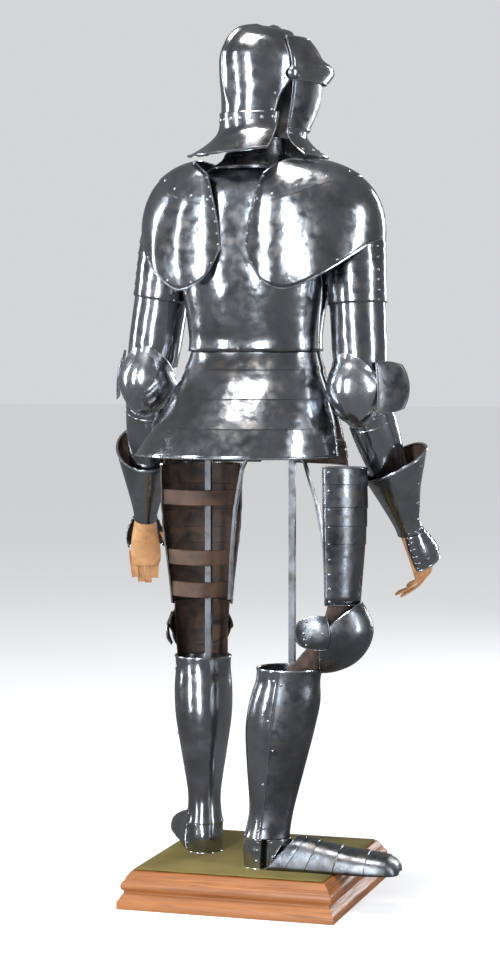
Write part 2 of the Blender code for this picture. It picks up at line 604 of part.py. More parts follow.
def leg(spec):
    mark = spec.side
    flip = mark == "r"
    foot = frame(f"foot_{mark}", (*spec.foot, FLOOR), (0, 0, spec.turn))
    slope = math.tan(math.radians(spec.lean))
    shin = [Ring(r.z - FLOOR, r.x, r.y - (r.z - ANKLE_Z) * slope, r.wide, r.front, r.back) for r in SHIN]
    plate(f"greave_front_{mark}", ring_skin(shin, -89.55, 89.55), 10, 7, foot, mirror=flip)
    plate(f"greave_back_{mark}", ring_skin(shin, 90.45, 269.55), 10, 7, foot, mirror=flip)
    heel = [Ring(r.z + 0.0003, r.x, -(r.z + FLOOR - ANKLE_Z) * slope * 0.4, r.wide, r.front, r.back) for r in HEEL]
    plate(f"heel_{mark}", ring_skin(heel, 91, 269), 8, 3, foot, mirror=flip)
    plate(f"sabaton_{mark}", foot_point, 10, lame_rows(TOE_LINES, 1), foot, mirror=flip,
          relief=lames(TOE_LINES, 0.0014, False))
    instep = [Ring(0.003, 0, -0.002, 0.0372, 0.0380, 0.045), Ring(0.034, 0, -0.002, 0.0376, 0.0440, 0.045),
              Ring(0.052, 0, 0.003, 0.0395, 0.0540, 0.045), Ring(0.0641, 0, 0.008, 0.0420, 0.0590, 0.046)]
    plate(f"ankle_lames_{mark}", ring_skin(instep, -76, 76), 8, lame_rows((0.7,), 2), foot, mirror=flip,
          relief=lames((0.7,), 0.0010))
    knee = Vector(spec.knee)
    thigh_up = Vector(spec.thigh).normalized()
    toward = heading(spec.turn)
    shin_up = (Vector((0, 0, 1)) + toward * slope).normalized()
    middle = Vector((*spec.foot, ANKLE_Z)) + shin_up * ((knee.z - ANKLE_Z) / shin_up.z)
    ahead = (knee - middle).dot(toward)
    cop = aim(f"knee_{mark}", knee, (0, 0, 1), toward)
    plate(f"poleyn_{mark}", slice_skin(poleyn_slices(ahead + slope * (knee.z - 0.505) + 0.0002 * flip, knee.z - 0.505), 5), 12, 8, cop, mirror=flip)
    plate(f"poleyn_wing_{mark}", patch_skin(KNEE_WING), 6, 3, cop, mirror=flip)
    upper = aim(f"thigh_{mark}", knee, thigh_up, heading(spec.thigh_turn))
    thigh = [*THIGH[:-1], THIGH[-1]._replace(z=(CUISSE_TOP - knee.z) / thigh_up.z)]
    plate(f"cuisse_{mark}", ring_skin(thigh, -86, 88), 12, lame_rows(THIGH_LINES, 1), upper, mirror=flip,
          relief=lames(THIGH_LINES, 0.0016))


def reach_wall(obj, origin, direction, spread):
    """How far a bar can run from origin before its nearest corner is 0.3 mm short of the wall."""
    bpy.context.view_layer.update()
    tree = BVHTree.FromObject(obj, bpy.context.evaluated_depsgraph_get())
    back = obj.matrix_world.inverted()
    ray = (back.to_3x3() @ Vector(direction)).normalized()
    hits = [tree.ray_cast(back @ (Vector(origin) + Vector(s)), ray)[3] for s in spread]
    return min(h for h in hits if h) - 0.0003


def inner_supports():
    """The post inside the trunk that carries the helmet, and its arms to the two body plates."""
    h = BAR / 2
    x, y = -0.004, 0.011
    low = 1.010 + BAR + 0.0006
    corners = [(a * h, b * h, 0) for a in (-1, 0, 1) for b in (-1, 0, 1)]
    tall = reach_wall(armour.objects["helm_skull"], (x, y, low), (0, 0, 1), corners)
    bar("spine_post", [(x, y, low), (x, y, low + tall)], BAR, BAR)
    z = 1.400
    corners = [(a * h, 0, b * h) for a in (-1, 0, 1) for b in (-1, 0, 1)]
    for name, side in (("backplate", 1), ("breastplate", -1)):
        start = (x, y + side * (h + 0.0003), z)
        run = reach_wall(armour.objects[name], start, (0, side, 0), corners)
        bar(f"{name}_bar", [start, (x, start[1] + side * run, z)], BAR, BAR)


plinth()
stand_bars()
helmet()
trunk_frame = trunk()
for spec in ARMS:
    arm(spec, trunk_frame)
for spec in LEGS:
    leg(spec)
inner_supports()
bpy.context.view_layer.update()
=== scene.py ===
"""Looks of the suit of plate armour: finer plates over the CAD's, with rolled edges, rivets and straps."""

import math
from collections import namedtuple

import bpy
from mathutils import Matrix, Vector


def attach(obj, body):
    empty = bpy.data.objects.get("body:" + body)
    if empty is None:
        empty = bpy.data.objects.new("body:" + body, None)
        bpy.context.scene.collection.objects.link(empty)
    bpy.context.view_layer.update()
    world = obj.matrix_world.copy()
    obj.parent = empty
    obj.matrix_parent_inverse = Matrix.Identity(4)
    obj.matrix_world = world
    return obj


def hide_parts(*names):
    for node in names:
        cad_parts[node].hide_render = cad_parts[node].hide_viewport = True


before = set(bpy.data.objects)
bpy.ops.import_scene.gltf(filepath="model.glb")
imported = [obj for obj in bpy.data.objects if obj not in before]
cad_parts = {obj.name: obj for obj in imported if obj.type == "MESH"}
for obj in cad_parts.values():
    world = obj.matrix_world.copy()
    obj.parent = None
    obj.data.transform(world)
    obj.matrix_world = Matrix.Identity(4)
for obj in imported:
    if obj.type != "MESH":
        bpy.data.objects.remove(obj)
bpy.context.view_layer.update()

# ---- Materials ----


def new_material(name):
    made = bpy.data.materials.new(name)
    made.use_nodes = True
    return made, made.node_tree.nodes, made.node_tree.links, made.node_tree.nodes["Principled BSDF"]


def noise(nodes, links, scale, detail, stretch=(1, 1, 1), distortion=0.0):
    """A noise node that reads the object's own metres, drawn out along the axes given."""
    place = nodes.new("ShaderNodeTexCoord")
    shape = nodes.new("ShaderNodeMapping")
    shape.inputs["Scale"].default_value = stretch
    made = nodes.new("ShaderNodeTexNoise")
    made.inputs["Scale"].default_value = scale
    made.inputs["Detail"].default_value = detail
    made.inputs["Distortion"].default_value = distortion
    links.new(place.outputs["Object"], shape.inputs["Vector"])
    links.new(shape.outputs["Vector"], made.inputs["Vector"])
    return made.outputs["Fac"]


def ramp(nodes, links, source, stops):
    made = nodes.new("ShaderNodeValToRGB")
    for element in list(made.color_ramp.elements)[2:]:
        made.color_ramp.elements.remove(element)
    while len(made.color_ramp.elements) < len(stops):
        made.color_ramp.elements.new(0.5)
    for element, (at, colour) in zip(made.color_ramp.elements, stops):
        element.position = at
        element.color = (*colour, 1)
    links.new(source, made.inputs["Fac"])
    return made.outputs["Color"]


def spread(nodes, links, source, low, high, first=0.3, last=0.7):
    """The source from first to last, laid out from low to high."""
    made = nodes.new("ShaderNodeMapRange")
    for name, value in (("From Min", first), ("From Max", last), ("To Min", low), ("To Max", high)):
        made.inputs[name].default_value = value
    links.new(source, made.inputs["Value"])
    return made.outputs["Result"]


def mix(nodes, links, share, first, second):
    made = nodes.new("ShaderNodeMix")
    made.data_type = "RGBA"
    links.new(share, made.inputs["Factor"])
    for socket, value in ((made.inputs["A"], first), (made.inputs["B"], second)):
        if isinstance(value, tuple):
            socket.default_value = (*value, 1)
        else:
            links.new(value, socket)
    return made.outputs["Result"]


def bump(nodes, links, shader, layers):
    """Bumps stacked on each other; layers are (height, distance in metres)."""
    last = None
    for height, distance in layers:
        made = nodes.new("ShaderNodeBump")
        made.inputs["Distance"].default_value = distance
        links.new(height, made.inputs["Height"])
        if last:
            links.new(last, made.inputs["Normal"])
        last = made.outputs["Normal"]
    links.new(last, shader.inputs["Normal"])


def steel(name, light, stain, worn, hammer=0.0009):
    """Polished plate: light is its grey, stain how much brown shows, worn its roughness."""
    made, nodes, links, shader = new_material(name)
    shader.inputs["Metallic"].default_value = 1.0
    cloud = noise(nodes, links, 9, 5, distortion=0.6)
    spots = noise(nodes, links, 46, 8, distortion=0.3)
    bright = tuple(c * light for c in (0.93, 0.98, 1.06))
    dull = tuple(c * light * 0.62 for c in (0.96, 0.98, 1.02))
    rust = (light * 0.62, light * 0.40, light * 0.22)
    grey = ramp(nodes, links, cloud, [(0.36, dull), (0.62, bright)])
    share = spread(nodes, links, spots, 0.0, stain, 0.50, 0.74)
    links.new(mix(nodes, links, share, grey, rust), shader.inputs["Base Color"])
    links.new(spread(nodes, links, spots, worn * 0.75, worn * 1.6, 0.34, 0.72), shader.inputs["Roughness"])
    dents = noise(nodes, links, 17, 2)
    beats = noise(nodes, links, 60, 3)
    grain = noise(nodes, links, 900, 2, (1, 1, 0.12))
    bump(nodes, links, shader, [(dents, hammer * 2.2), (beats, hammer * 0.35), (grain, 0.000012)])
    return made


STEEL = steel("polished_plate", 0.44, 0.40, 0.17)
# A lighter copy of the polished steel, with less stain, for rolled edges, ridges, bands and the elbow cops' outer
# face: painted highlight
HIGHLIT_CLEAN_STEEL = steel("clean_steel_painted_highlight", 0.70, 0.08, 0.20, 0.0004)
# A darker, more stained and rougher copy of the polished steel: painted shade where it covers a plate's outer face,
# and darker stained steel on the insides
SHADED_STAINED_STEEL = steel("stained_steel_painted_shade", 0.22, 0.55, 0.30)
RIVET = steel("rivet_steel", 0.46, 0.20, 0.26, 0.0001)
BAR_IRON = steel("painted_bar", 0.22, 0.35, 0.40, 0.0002)


def leather(name, light, dark):
    made, nodes, links, shader = new_material(name)
    cloud = noise(nodes, links, 30, 6, distortion=0.5)
    links.new(ramp(nodes, links, cloud, [(0.34, dark), (0.66, light)]), shader.inputs["Base Color"])
    links.new(spread(nodes, links, cloud, 0.5, 0.75), shader.inputs["Roughness"])
    pores = nodes.new("ShaderNodeTexVoronoi")
    pores.inputs["Scale"].default_value = 700
    place = nodes.new("ShaderNodeTexCoord")
    links.new(place.outputs["Object"], pores.inputs["Vector"])
    bump(nodes, links, shader, [(pores.outputs["Distance"], 0.00025), (cloud, 0.0006)])
    return made


TAN = leather("tan_leather", (0.56, 0.29, 0.12), (0.36, 0.16, 0.06))
BROWN = leather("brown_strap", (0.115, 0.060, 0.036), (0.050, 0.028, 0.018))
INSIDE = leather("rusted_inside", (0.120, 0.070, 0.045), (0.034, 0.027, 0.025))
INSIDE.node_tree.nodes["Principled BSDF"].inputs["Metallic"].default_value = 0.3
# Dark olive leather for the discs that mark the finger holes: painted shade
HOLE_SHADE = leather("painted_hole_shade", (0.085, 0.085, 0.055), (0.035, 0.035, 0.022))


def oak(name, along):
    """Stained oak with its grain running along x or y."""
    made, nodes, links, shader = new_material(name)
    thin = (0.05, 1, 1) if along == "x" else (1, 0.05, 1)
    wide = (0.12, 1, 1) if along == "x" else (1, 0.12, 1)
    grain = noise(nodes, links, 190, 8, thin, 0.4)
    bands = noise(nodes, links, 26, 4, wide, 1.2)
    tone = ramp(nodes, links, bands, [(0.30, (0.24, 0.075, 0.018)), (0.72, (0.38, 0.140, 0.036))])
    line = spread(nodes, links, grain, 0.0, 0.7, 0.52, 0.70)
    links.new(mix(nodes, links, line, tone, (0.17, 0.055, 0.018)), shader.inputs["Base Color"])
    links.new(spread(nodes, links, grain, 0.30, 0.5), shader.inputs["Roughness"])
    bump(nodes, links, shader, [(grain, 0.00035)])
    return made


OAK_X, OAK_Y = oak("oak_along_x", "x"), oak("oak_along_y", "y")


def felt():
    made, nodes, links, shader = new_material("green_baize")
    nap = noise(nodes, links, 1600, 3)
    worn = noise(nodes, links, 9, 5)
    tone = ramp(nodes, links, worn, [(0.3, (0.125, 0.095, 0.018)), (0.7, (0.20, 0.155, 0.035))])
    share = spread(nodes, links, nap, 0.0, 0.45, 0.45, 0.75)
    links.new(mix(nodes, links, share, tone, (0.11, 0.085, 0.02)), shader.inputs["Base Color"])
    shader.inputs["Roughness"].default_value = 0.95
    shader.inputs["Sheen Weight"].default_value = 0.0
    bump(nodes, links, shader, [(nap, 0.0005)])
    return made


FELT = felt()


# ---- Shapes: the same skins as the CAD's, drawn finer ----

PLATE = 0.0018
GAP = 0.0004
LAME_STEP = 0.0022
FLOOR = 0.083

Ring = namedtuple("Ring", "z x y wide front back")
Slice = namedtuple("Slice", "turn wide reach")
Arm = namedtuple("Arm", "side elbow shoulder turn bend twist")
Leg = namedtuple("Leg", "side foot turn lean knee thigh thigh_turn")


def blend(rows, t):
    """The row at t, counted in rows from 0, on a smooth curve through all of them."""
    last = len(rows) - 1
    i = min(int(t), last - 1)
    s = t - i
    a, b, c, d = (rows[max(0, min(last, k))] for k in (i - 1, i, i + 1, i + 2))
    return [
        0.5 * (2 * q + s * (r - p) + s * s * (2 * p - 5 * q + 4 * r - w) + s**3 * (3 * q - p - 3 * r + w))
        for p, q, r, w in zip(a, b, c, d)
    ]


def curve(values, t):
    """One value at t from 0 to 1, on a smooth curve through evenly spaced values."""
    return blend([(v,) for v in values], t * (len(values) - 1))[0]


def signed_power(value, power):
    return math.copysign(abs(value) ** power, value)


def ring_skin(rings, start, end, square=2.0, grow=0.0):
    """A tube's surface: u turns from start to end degrees, 0 in front and 90 at +x; v climbs the rings.

    start and end are numbers or functions of v, and square is the superellipse's power.
    """

    def point(u, v):
        z, x, y, wide, front, back = blend(rings, v * (len(rings) - 1))
        first = start(v) if callable(start) else start
        last = end(v) if callable(end) else end
        angle = math.radians(first + (last - first) * u)
        s, c = math.sin(angle), math.cos(angle)
        deep = front if c > 0 else back
        across, along = signed_power(s, 2 / square), signed_power(c, 2 / square)
        return Vector((x + (wide + grow) * across, y - (deep + grow) * along, z))

    return point


def slice_skin(slices, margin):
    """A dome's surface, cut by planes through the x axis: u runs from +x to -x, v through the slices.

    A slice's turn is its angle above straight forward; margin is the angle left open round each pole.
    """

    def point(u, v):
        turn, wide, reach = blend(slices, v * (len(slices) - 1))
        t = math.radians(margin + (180 - 2 * margin) * u)
        r = reach * math.sin(t)
        a = math.radians(turn)
        return Vector((wide * math.cos(t), -r * math.cos(a), r * math.sin(a)))

    return point


def patch_skin(rows):
    """A surface of meridians: each row is four control points, from the lower edge to the upper one."""

    def point(u, v):
        c = blend([[k for p in row for k in p] for row in rows], u * (len(rows) - 1))
        w = ((1 - v) ** 3, 3 * v * (1 - v) ** 2, 3 * v * v * (1 - v), v**3)
        return Vector([sum(w[i] * c[3 * i + k] for i in range(4)) for k in range(3)])

    return point


def lames(edges, step=LAME_STEP, downward=True):
    """Steps along v: each lame's raised edge laps the next one. edges are the v of the lines between lames."""
    bounds = [0.0, *edges, 1.0]
    small = 1e-4

    def relief(u, v):
        for low, high in zip(bounds, bounds[1:]):
            if low - small <= v <= high + small:
                share = (v - low) / (high - low)
                if downward:
                    share = 1 - share
                return step * max(0.0, min(1.0, share))
        return 0.0

    return relief


def lame_rows(edges, between=1, sliver=0.004):
    """Stations along v with a row on each side of every line between lames."""
    bounds = [0.0, *edges, 1.0]
    found = []
    for k, (low, high) in enumerate(zip(bounds, bounds[1:])):
        first = low + (sliver if k else 0.0)
        found += [first + (high - first) * i / between for i in range(between + 1)]
    return found


def heading(degrees):
    """The level direction that far round from -y towards +x."""
    a = math.radians(degrees)
    return Vector((math.sin(a), -math.cos(a), 0))


def place(at, turn):
    """The matrix of a group of plates that is turned about the upright, in degrees."""
    return Matrix.Translation(at) @ Matrix.Rotation(math.radians(turn), 4, "Z")


def aim(at, up, front):
    """The matrix whose z points along up and whose -y points as near to front as it can."""
    z = Vector(up).normalized()
    y = -Vector(front)
    y = (y - z * y.dot(z)).normalized()
    return Matrix.Translation(at) @ Matrix((y.cross(z), y, z)).transposed().to_4x4()


def add_mesh(name, points, faces, look, body="body", smooth=True, angle=35):
    mesh = bpy.data.meshes.new(name)
    mesh.from_pydata(points, [], faces)
    mesh.materials.append(look)
    obj = bpy.data.objects.new(name, mesh)
    bpy.context.scene.collection.objects.link(obj)
    if smooth:
        mesh.shade_smooth()
        mesh.set_sharp_from_angle(angle=math.radians(angle))
    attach(obj, body)
    return obj


def strip_faces(rows, columns, closed):
    spans = columns if closed else columns + 1
    faces = []
    for j in range(rows - 1):
        for i in range(columns):
            a, b = j * spans + i, j * spans + (i + 1) % spans
            faces.append((a, b, b + spans, a + spans))
    return faces


def tube(name, path, radius, look, body="body", closed=False, sides=8):
    """A round wire or ridge along points."""
    count = len(path)
    points = []
    turn = None
    for i, p in enumerate(path):
        before = path[(i - 1) % count] if closed or i else p
        after = path[(i + 1) % count] if closed or i < count - 1 else p
        ahead = (after - before).normalized()
        turn = ahead.orthogonal() if turn is None else turn
        turn = (turn - ahead * turn.dot(ahead)).normalized()
        other = ahead.cross(turn)
        for k in range(sides):
            a = math.tau * k / sides
            points.append(p + turn * (radius * math.cos(a)) + other * (radius * math.sin(a)))
    faces = strip_faces(count, sides, True)
    if closed:
        last = (count - 1) * sides
        faces += [(last + k, last + (k + 1) % sides, (k + 1) % sides, k) for k in range(sides)]
    else:
        last = (count - 1) * sides
        faces += [tuple(range(sides))[::-1], tuple(range(last, last + sides))]
    return add_mesh(name, points, faces, look, body)


def dome(at, out, radius, high):
    """A rivet's head: rings of points and their faces, facing along out."""
    side = out.orthogonal().normalized()
    other = out.cross(side)
    points, faces = [], []
    rings = ((1.0, -0.3), (1.0, 0.25), (0.72, 0.75), (0.3, 0.97))
    for share, lift in rings:
        for k in range(10):
            a = math.tau * k / 10
            points.append(at + (side * math.cos(a) + other * math.sin(a)) * radius * share + out * high * lift)
    faces = strip_faces(len(rings), 10, True)
    faces.append(tuple(range(30, 40)))
    return points, faces


def heads(name, spots, radius, look, body="body", high=0.6):
    """Many rivet heads as one piece; spots are (place, outward direction)."""
    points, faces = [], []
    for at, out in spots:
        more, found = dome(at, out, radius, radius * high)
        faces += [tuple(len(points) + i for i in face) for face in found]
        points += more
    return add_mesh(name, points, faces, look, body, angle=60)


class Skin:
    """A plate's outer face in the row frame, with places on it for edges, rivets and straps."""

    def __init__(self, point, at, mirror=False, relief=None):
        self.point, self.at, self.mirror, self.relief = point, at, mirror, relief

    def bare(self, u, v):
        p = self.point(u, v)
        return self.at @ Vector((-p.x if self.mirror else p.x, p.y, p.z))

    def out(self, u, v):
        step = 0.004
        u0, u1 = max(0.0, u - step), min(1.0, u + step)
        v0, v1 = max(0.0, v - step), min(1.0, v + step)
        across = self.bare(u1, v) - self.bare(u0, v)
        along = self.bare(u, v1) - self.bare(u, v0)
        found = across.cross(along)
        found = found if found.length > 1e-12 else Vector((0, 0, 1))
        return -found.normalized() if self.mirror else found.normalized()

    def on(self, u, v, lift=0.0):
        raised = lift + (self.relief(u, v) if self.relief else 0.0)
        return self.bare(u, v) + self.out(u, v) * raised


def finer(stations, parts):
    """Stations along v with each wide span cut into parts; the slivers at lames' steps stay."""
    found = [stations[0]]
    for low, high in zip(stations, stations[1:]):
        cuts = parts if high - low > 0.012 else 1
        found += [low + (high - low) * i / cuts for i in range(1, cuts + 1)]
    return found


def plate(node, skin, columns, stations, look=None, body="body", closed=False, rolls=(), rivets=(), head=0.0034,
          inside=None, thick=PLATE):
    """A fine plate in the node's place, with rolled edges and rivets.

    rolls are (edge, radius), where edge is low, high, first or last; rivets are (u, v) on the skin.
    """
    if isinstance(stations, int):
        stations = [j / stations for j in range(stations + 1)]
    spans = columns if closed else columns + 1
    points = [skin.on(i / columns, v) for v in stations for i in range(spans)]
    faces = strip_faces(len(stations), columns, closed)
    if skin.mirror:
        faces = [f[::-1] for f in faces]
    obj = add_mesh(f"{node}_plate", points, faces, look or STEEL, body)
    obj.data.materials.append(inside or SHADED_STAINED_STEEL)
    wall = obj.modifiers.new("wall", "SOLIDIFY")
    wall.thickness = thick
    wall.offset = -1
    wall.use_quality_normals = True
    wall.material_offset = 1
    wall.material_offset_rim = 0
    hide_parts(node)
    for k, (edge_name, radius) in enumerate(rolls):
        inset = -PLATE / 2
        steps = columns if edge_name in ("low", "high") else max(24, len(stations))
        ring = closed and edge_name in ("low", "high")
        rail = {"low": lambda t: (t, 0.0), "high": lambda t: (t, 1.0), "first": lambda t: (0.0, t),
                "last": lambda t: (1.0, t)}[edge_name]
        path = [skin.on(*rail(i / steps), inset) for i in range(steps if ring else steps + 1)]
        # Each rolled edge takes the lighter steel: a painted highlight along the edge
        tube(f"{node}_roll_{edge_name}", path, radius, HIGHLIT_CLEAN_STEEL, body, closed=ring)
    if rivets:
        spots = [(skin.on(u, v), skin.out(u, v)) for u, v in rivets]
        heads(f"{node}_rivets", spots, head, RIVET, body)
    return obj


def row(count, first, last):
    """Evenly spaced (u, v) places from first to last."""
    return [
        tuple(a + (b - a) * i / max(1, count - 1) for a, b in zip(first, last)) for i in range(count)
    ]


def band(name, path, normals, wide, thick, look, body="body"):
    """A flat strap along points, with its face along the normals."""
    points = []
    for i, (p, n) in enumerate(zip(path, normals)):
        ahead = (path[min(i + 1, len(path) - 1)] - path[max(i - 1, 0)]).normalized()
        side = ahead.cross(n).normalized()
        lift = side.cross(ahead).normalized()
        for a, b in ((-1, 0.0), (-0.92, 1.0), (0.92, 1.0), (1, 0.0)):
            points.append(p + side * (a * wide / 2) + lift * (b * thick))
    faces = strip_faces(len(path), 4, True)
    last = (len(path) - 1) * 4
    faces += [(3, 2, 1, 0), (last, last + 1, last + 2, last + 3)]
    return add_mesh(name, points, faces, look, body, angle=50)


# ---- Plinth ----

BOARD = (0.478, 0.505, 0.080)


def moulded_side(name, look, along_x, sign):
    """One mitred side of the board, from the profile of (inset, height)."""
    profile = [
        (0.000, 0.000), (0.000, 0.0155), (0.0006, 0.0168), (0.0035, 0.0205), (0.0060, 0.0245), (0.0085, 0.0295),
        (0.0125, 0.0335), (0.0130, 0.0360), (0.0122, 0.0385), (0.0095, 0.0410), (0.0072, 0.0440),
        (0.0066, 0.0490), (0.0075, 0.0540), (0.0105, 0.0585), (0.0140, 0.0610), (0.0142, 0.0635),
        (0.0158, 0.0640), (0.0160, 0.0675), (0.0200, 0.0720), (0.0255, 0.0790), (0.0300, 0.0800),
        (0.0420, 0.0800), (0.0420, 0.0200), (0.0400, 0.0000),
    ]
    hx, hy = BOARD[0] / 2, BOARD[1] / 2
    points = []
    for end in (-1, 1):
        for inset, z in profile:
            x, y = hx - inset, hy - inset
            points.append((end * x, sign * y, z) if along_x else (sign * x, end * y, z))
    count = len(profile)
    faces = [(k, (k + 1) % count, count + (k + 1) % count, count + k) for k in range(count)]
    faces += [tuple(range(count)), tuple(range(count, 2 * count))]
    if along_x == (sign > 0):
        faces = [f[::-1] for f in faces]
    obj = add_mesh(name, points, faces, look, angle=30)
    worn = obj.modifiers.new("worn", "BEVEL")
    worn.width, worn.segments, worn.limit_method = 0.0007, 2, "ANGLE"
    return obj or obj


sides = [moulded_side("plinth_front", OAK_X, True, -1), moulded_side("plinth_back", OAK_X, True, 1),
         moulded_side("plinth_right", OAK_Y, False, -1), moulded_side("plinth_left", OAK_Y, False, 1)]
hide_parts("plinth")
hx, hy = BOARD[0] / 2 - 0.030, BOARD[1] / 2 - 0.030
cells = 24
cloth = []
for j in range(cells + 1):
    for i in range(cells + 1):
        wave = 0.0004 * math.sin(i * 1.3) * math.sin(j * 1.1)
        cloth.append((-hx + 2 * hx * i / cells, -hy + 2 * hy * j / cells, 0.0815 + wave))
top = add_mesh("plinth_cloth", cloth, strip_faces(cells + 1, cells, False), FELT)
top.modifiers.new("thick", "SOLIDIFY").thickness = 0.0016
top.modifiers["thick"].offset = 1
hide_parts("plinth_baize")

for name in ("upright_r", "upright_l", "crotch_arch", "hip_bar", "spine_post", "backplate_bar", "breastplate_bar"):
    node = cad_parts[name]
    node.data.materials.clear()
    node.data.materials.append(BAR_IRON)

# ---- Helmet ----

HELMET_WIDER = 1.06

SKULL = [
    Ring(-0.086, 0, 0.012, 0.072, 0.080, 0.088), Ring(-0.045, 0, 0.006, 0.078, 0.095, 0.093),
    Ring(0.000, 0, 0.000, 0.082, 0.104, 0.103), Ring(0.045, 0, 0.000, 0.078, 0.100, 0.103),
    Ring(0.078, 0, 0.002, 0.063, 0.080, 0.087), Ring(0.099, 0, 0.004, 0.038, 0.052, 0.060),
    Ring(0.107, 0, 0.006, 0.010, 0.016, 0.020),
]


def wider(rings):
    """The helmet's rings, grown sideways so that it takes a padded head."""
    return [Ring(r.z, r.x, *(k * HELMET_WIDER for k in (r.y, r.wide, r.front, r.back))) for r in rings]


def tail_point(rings):
    """The neck plate: its rim rises from the nape to the sides."""
    skin = ring_skin(wider(rings), 96, 264)

    def point(u, v):
        p = skin(u, v)
        return Vector((p.x, p.y, p.z + 0.028 * (1 - v) * (1 + math.cos(math.atan2(p.x, -p.y)))))

    return point


def skull_open(v):
    """Half of the face opening, in degrees, at a height on the skull."""
    return curve((100, 98, 84, 78, 70, 40, 0), v)


def skull_point(u, v):
    p = ring_skin(wider(SKULL), skull_open, lambda t: 360 - skull_open(t))(u, v)
    angle = math.atan2(p.x, -p.y)
    across = abs(math.sin(angle)) * math.hypot(p.x, p.y) / 0.09
    lift = 0.006 * math.exp(-((across / 0.085) ** 2)) * min(1.0, max(0.0, (p.z + 0.06) / 0.05))
    return p + Vector((p.x, p.y, p.z + 0.03)).normalized() * lift


head_at = place((-0.028, 0.02, 1.774), -42)
skull = Skin(skull_point, head_at)
plate("helm_skull", skull, 96, 40, rolls=(("first", 0.0016), ("last", 0.0016)),
      rivets=row(3, (0.03, 0.05), (0.05, 0.3)) + row(3, (0.97, 0.05), (0.95, 0.3)))
tail = [
    Ring(-0.172, 0, 0.062, 0.118, 0.10, 0.104), Ring(-0.150, 0, 0.040, 0.098, 0.09, 0.092),
    Ring(-0.125, 0, 0.022, 0.082, 0.08, 0.086), Ring(-0.100, 0, 0.013, 0.0765, 0.08, 0.0895),
    Ring(-0.080, 0, 0.011, 0.0767, 0.08, 0.0926),
]
tail_skin = Skin(tail_point(tail), head_at)
plate("helm_tail", tail_skin, 48, 18, rolls=(("low", 0.0030), ("first", 0.0014), ("last", 0.0014)),
      rivets=row(11, (0.04, 0.80), (0.96, 0.80)), head=0.0042)
bevor = [
    Ring(-0.128, 0, 0.006, 0.0690, 0.088, 0.085), Ring(-0.100, 0, 0.004, 0.0750, 0.102, 0.090),
    Ring(-0.060, 0, 0.002, 0.0815, 0.118, 0.097), Ring(-0.020, 0, 0.000, 0.0846, 0.122, 0.104),
    Ring(0.012, 0, 0.000, 0.0846, 0.116, 0.104),
]
bevor_skin = Skin(ring_skin(wider(bevor), -86, 86, 1.9), head_at)
# The bevor's face takes the darker steel: painted shade
plate("helm_bevor", bevor_skin, 40, 20, SHADED_STAINED_STEEL, "bevor", rolls=(("high", 0.0018),))
collar = [
    Ring(-0.170, 0, -0.012, 0.106, 0.118, 0.1), Ring(-0.150, 0, -0.002, 0.084, 0.102, 0.1),
    Ring(-0.126, 0, 0.006, 0.0718, 0.0912, 0.1), Ring(-0.112, 0, 0.005, 0.0752, 0.1000, 0.1),
]
collar_skin = Skin(ring_skin(wider(collar), -84, 84, 1.9), head_at)
plate("helm_bevor_collar", collar_skin, 40, 14, body="bevor", rolls=(("low", 0.0026), ("last", 0.0014)),
      rivets=row(9, (0.04, 0.72), (0.96, 0.72)) + row(9, (0.04, 0.22), (0.96, 0.22)), head=0.0036)
visor = [
    Ring(-0.012, 0, 0.000, 0.0876, 0.134, 0.11), Ring(0.010, 0, 0.000, 0.0876, 0.152, 0.11),
    Ring(0.026, 0, 0.000, 0.0872, 0.146, 0.11), Ring(0.040, 0, 0.000, 0.0848, 0.124, 0.11),
    Ring(0.062, 0, 0.002, 0.0780, 0.112, 0.10), Ring(0.082, 0, 0.003, 0.0690, 0.0960, 0.09),
]
visor_skin = Skin(ring_skin(wider(visor), -88, 88, 1.9), head_at)
plate("helm_visor", visor_skin, 56, 26, body="visor",
      rolls=(("low", 0.0015), ("high", 0.0016), ("first", 0.0014), ("last", 0.0014)))
# A line of the lighter steel across the visor: painted highlight
slit = [visor_skin.on(u / 40, 0.33, 0.0003) for u in range(7, 34)]
tube("visor_edge_line", slit, 0.0013, HIGHLIT_CLEAN_STEEL, "visor")
for mark, side in (("r", -1), ("l", 1)):
    hub = head_at @ Vector((side * 0.0934, -0.008, 0.002))
    out = (head_at.to_3x3() @ Vector((side, 0, 0))).normalized()
    points, faces = dome(hub, out, 0.0142, 0.0075)
    bolt = add_mesh(f"helm_bolt_{mark}_head", points, faces, RIVET, angle=60)
    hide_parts(f"helm_bolt_{mark}")
strap = [(0.80, -0.004), (0.86, 0.001), (0.92, 0.003), (0.99, 0.002)]
path = [collar_skin.on(u, 0.40 + 0.1 * u, lift + 0.001) for u, lift in strap]
band("helm_strap", path, [collar_skin.out(min(u, 0.98), 0.45) for u, _ in strap], 0.016, 0.002, BROWN,
             "bevor")

# ---- Trunk ----

BODY = [
    Ring(0.962, 0.030, 0.006, 0.236, 0.170, 0.220), Ring(1.020, 0.018, 0.002, 0.216, 0.156, 0.194),
    Ring(1.080, 0.008, 0.000, 0.190, 0.138, 0.158), Ring(1.140, 0.002, 0.000, 0.164, 0.120, 0.120),
    Ring(1.195, 0.000, 0.000, 0.149, 0.108, 0.098), Ring(1.250, 0.000, 0.000, 0.151, 0.120, 0.108),
    Ring(1.320, 0.000, 0.000, 0.161, 0.142, 0.122), Ring(1.400, 0.000, 0.000, 0.172, 0.150, 0.128),
    Ring(1.470, 0.000, 0.002, 0.174, 0.138, 0.122), Ring(1.530, 0.000, 0.006, 0.160, 0.112, 0.106),
    Ring(1.568, -0.003, 0.012, 0.118, 0.086, 0.084), Ring(1.594, -0.008, 0.014, 0.076, 0.070, 0.066),
    Ring(1.640, -0.018, 0.008, 0.060, 0.062, 0.058),
]


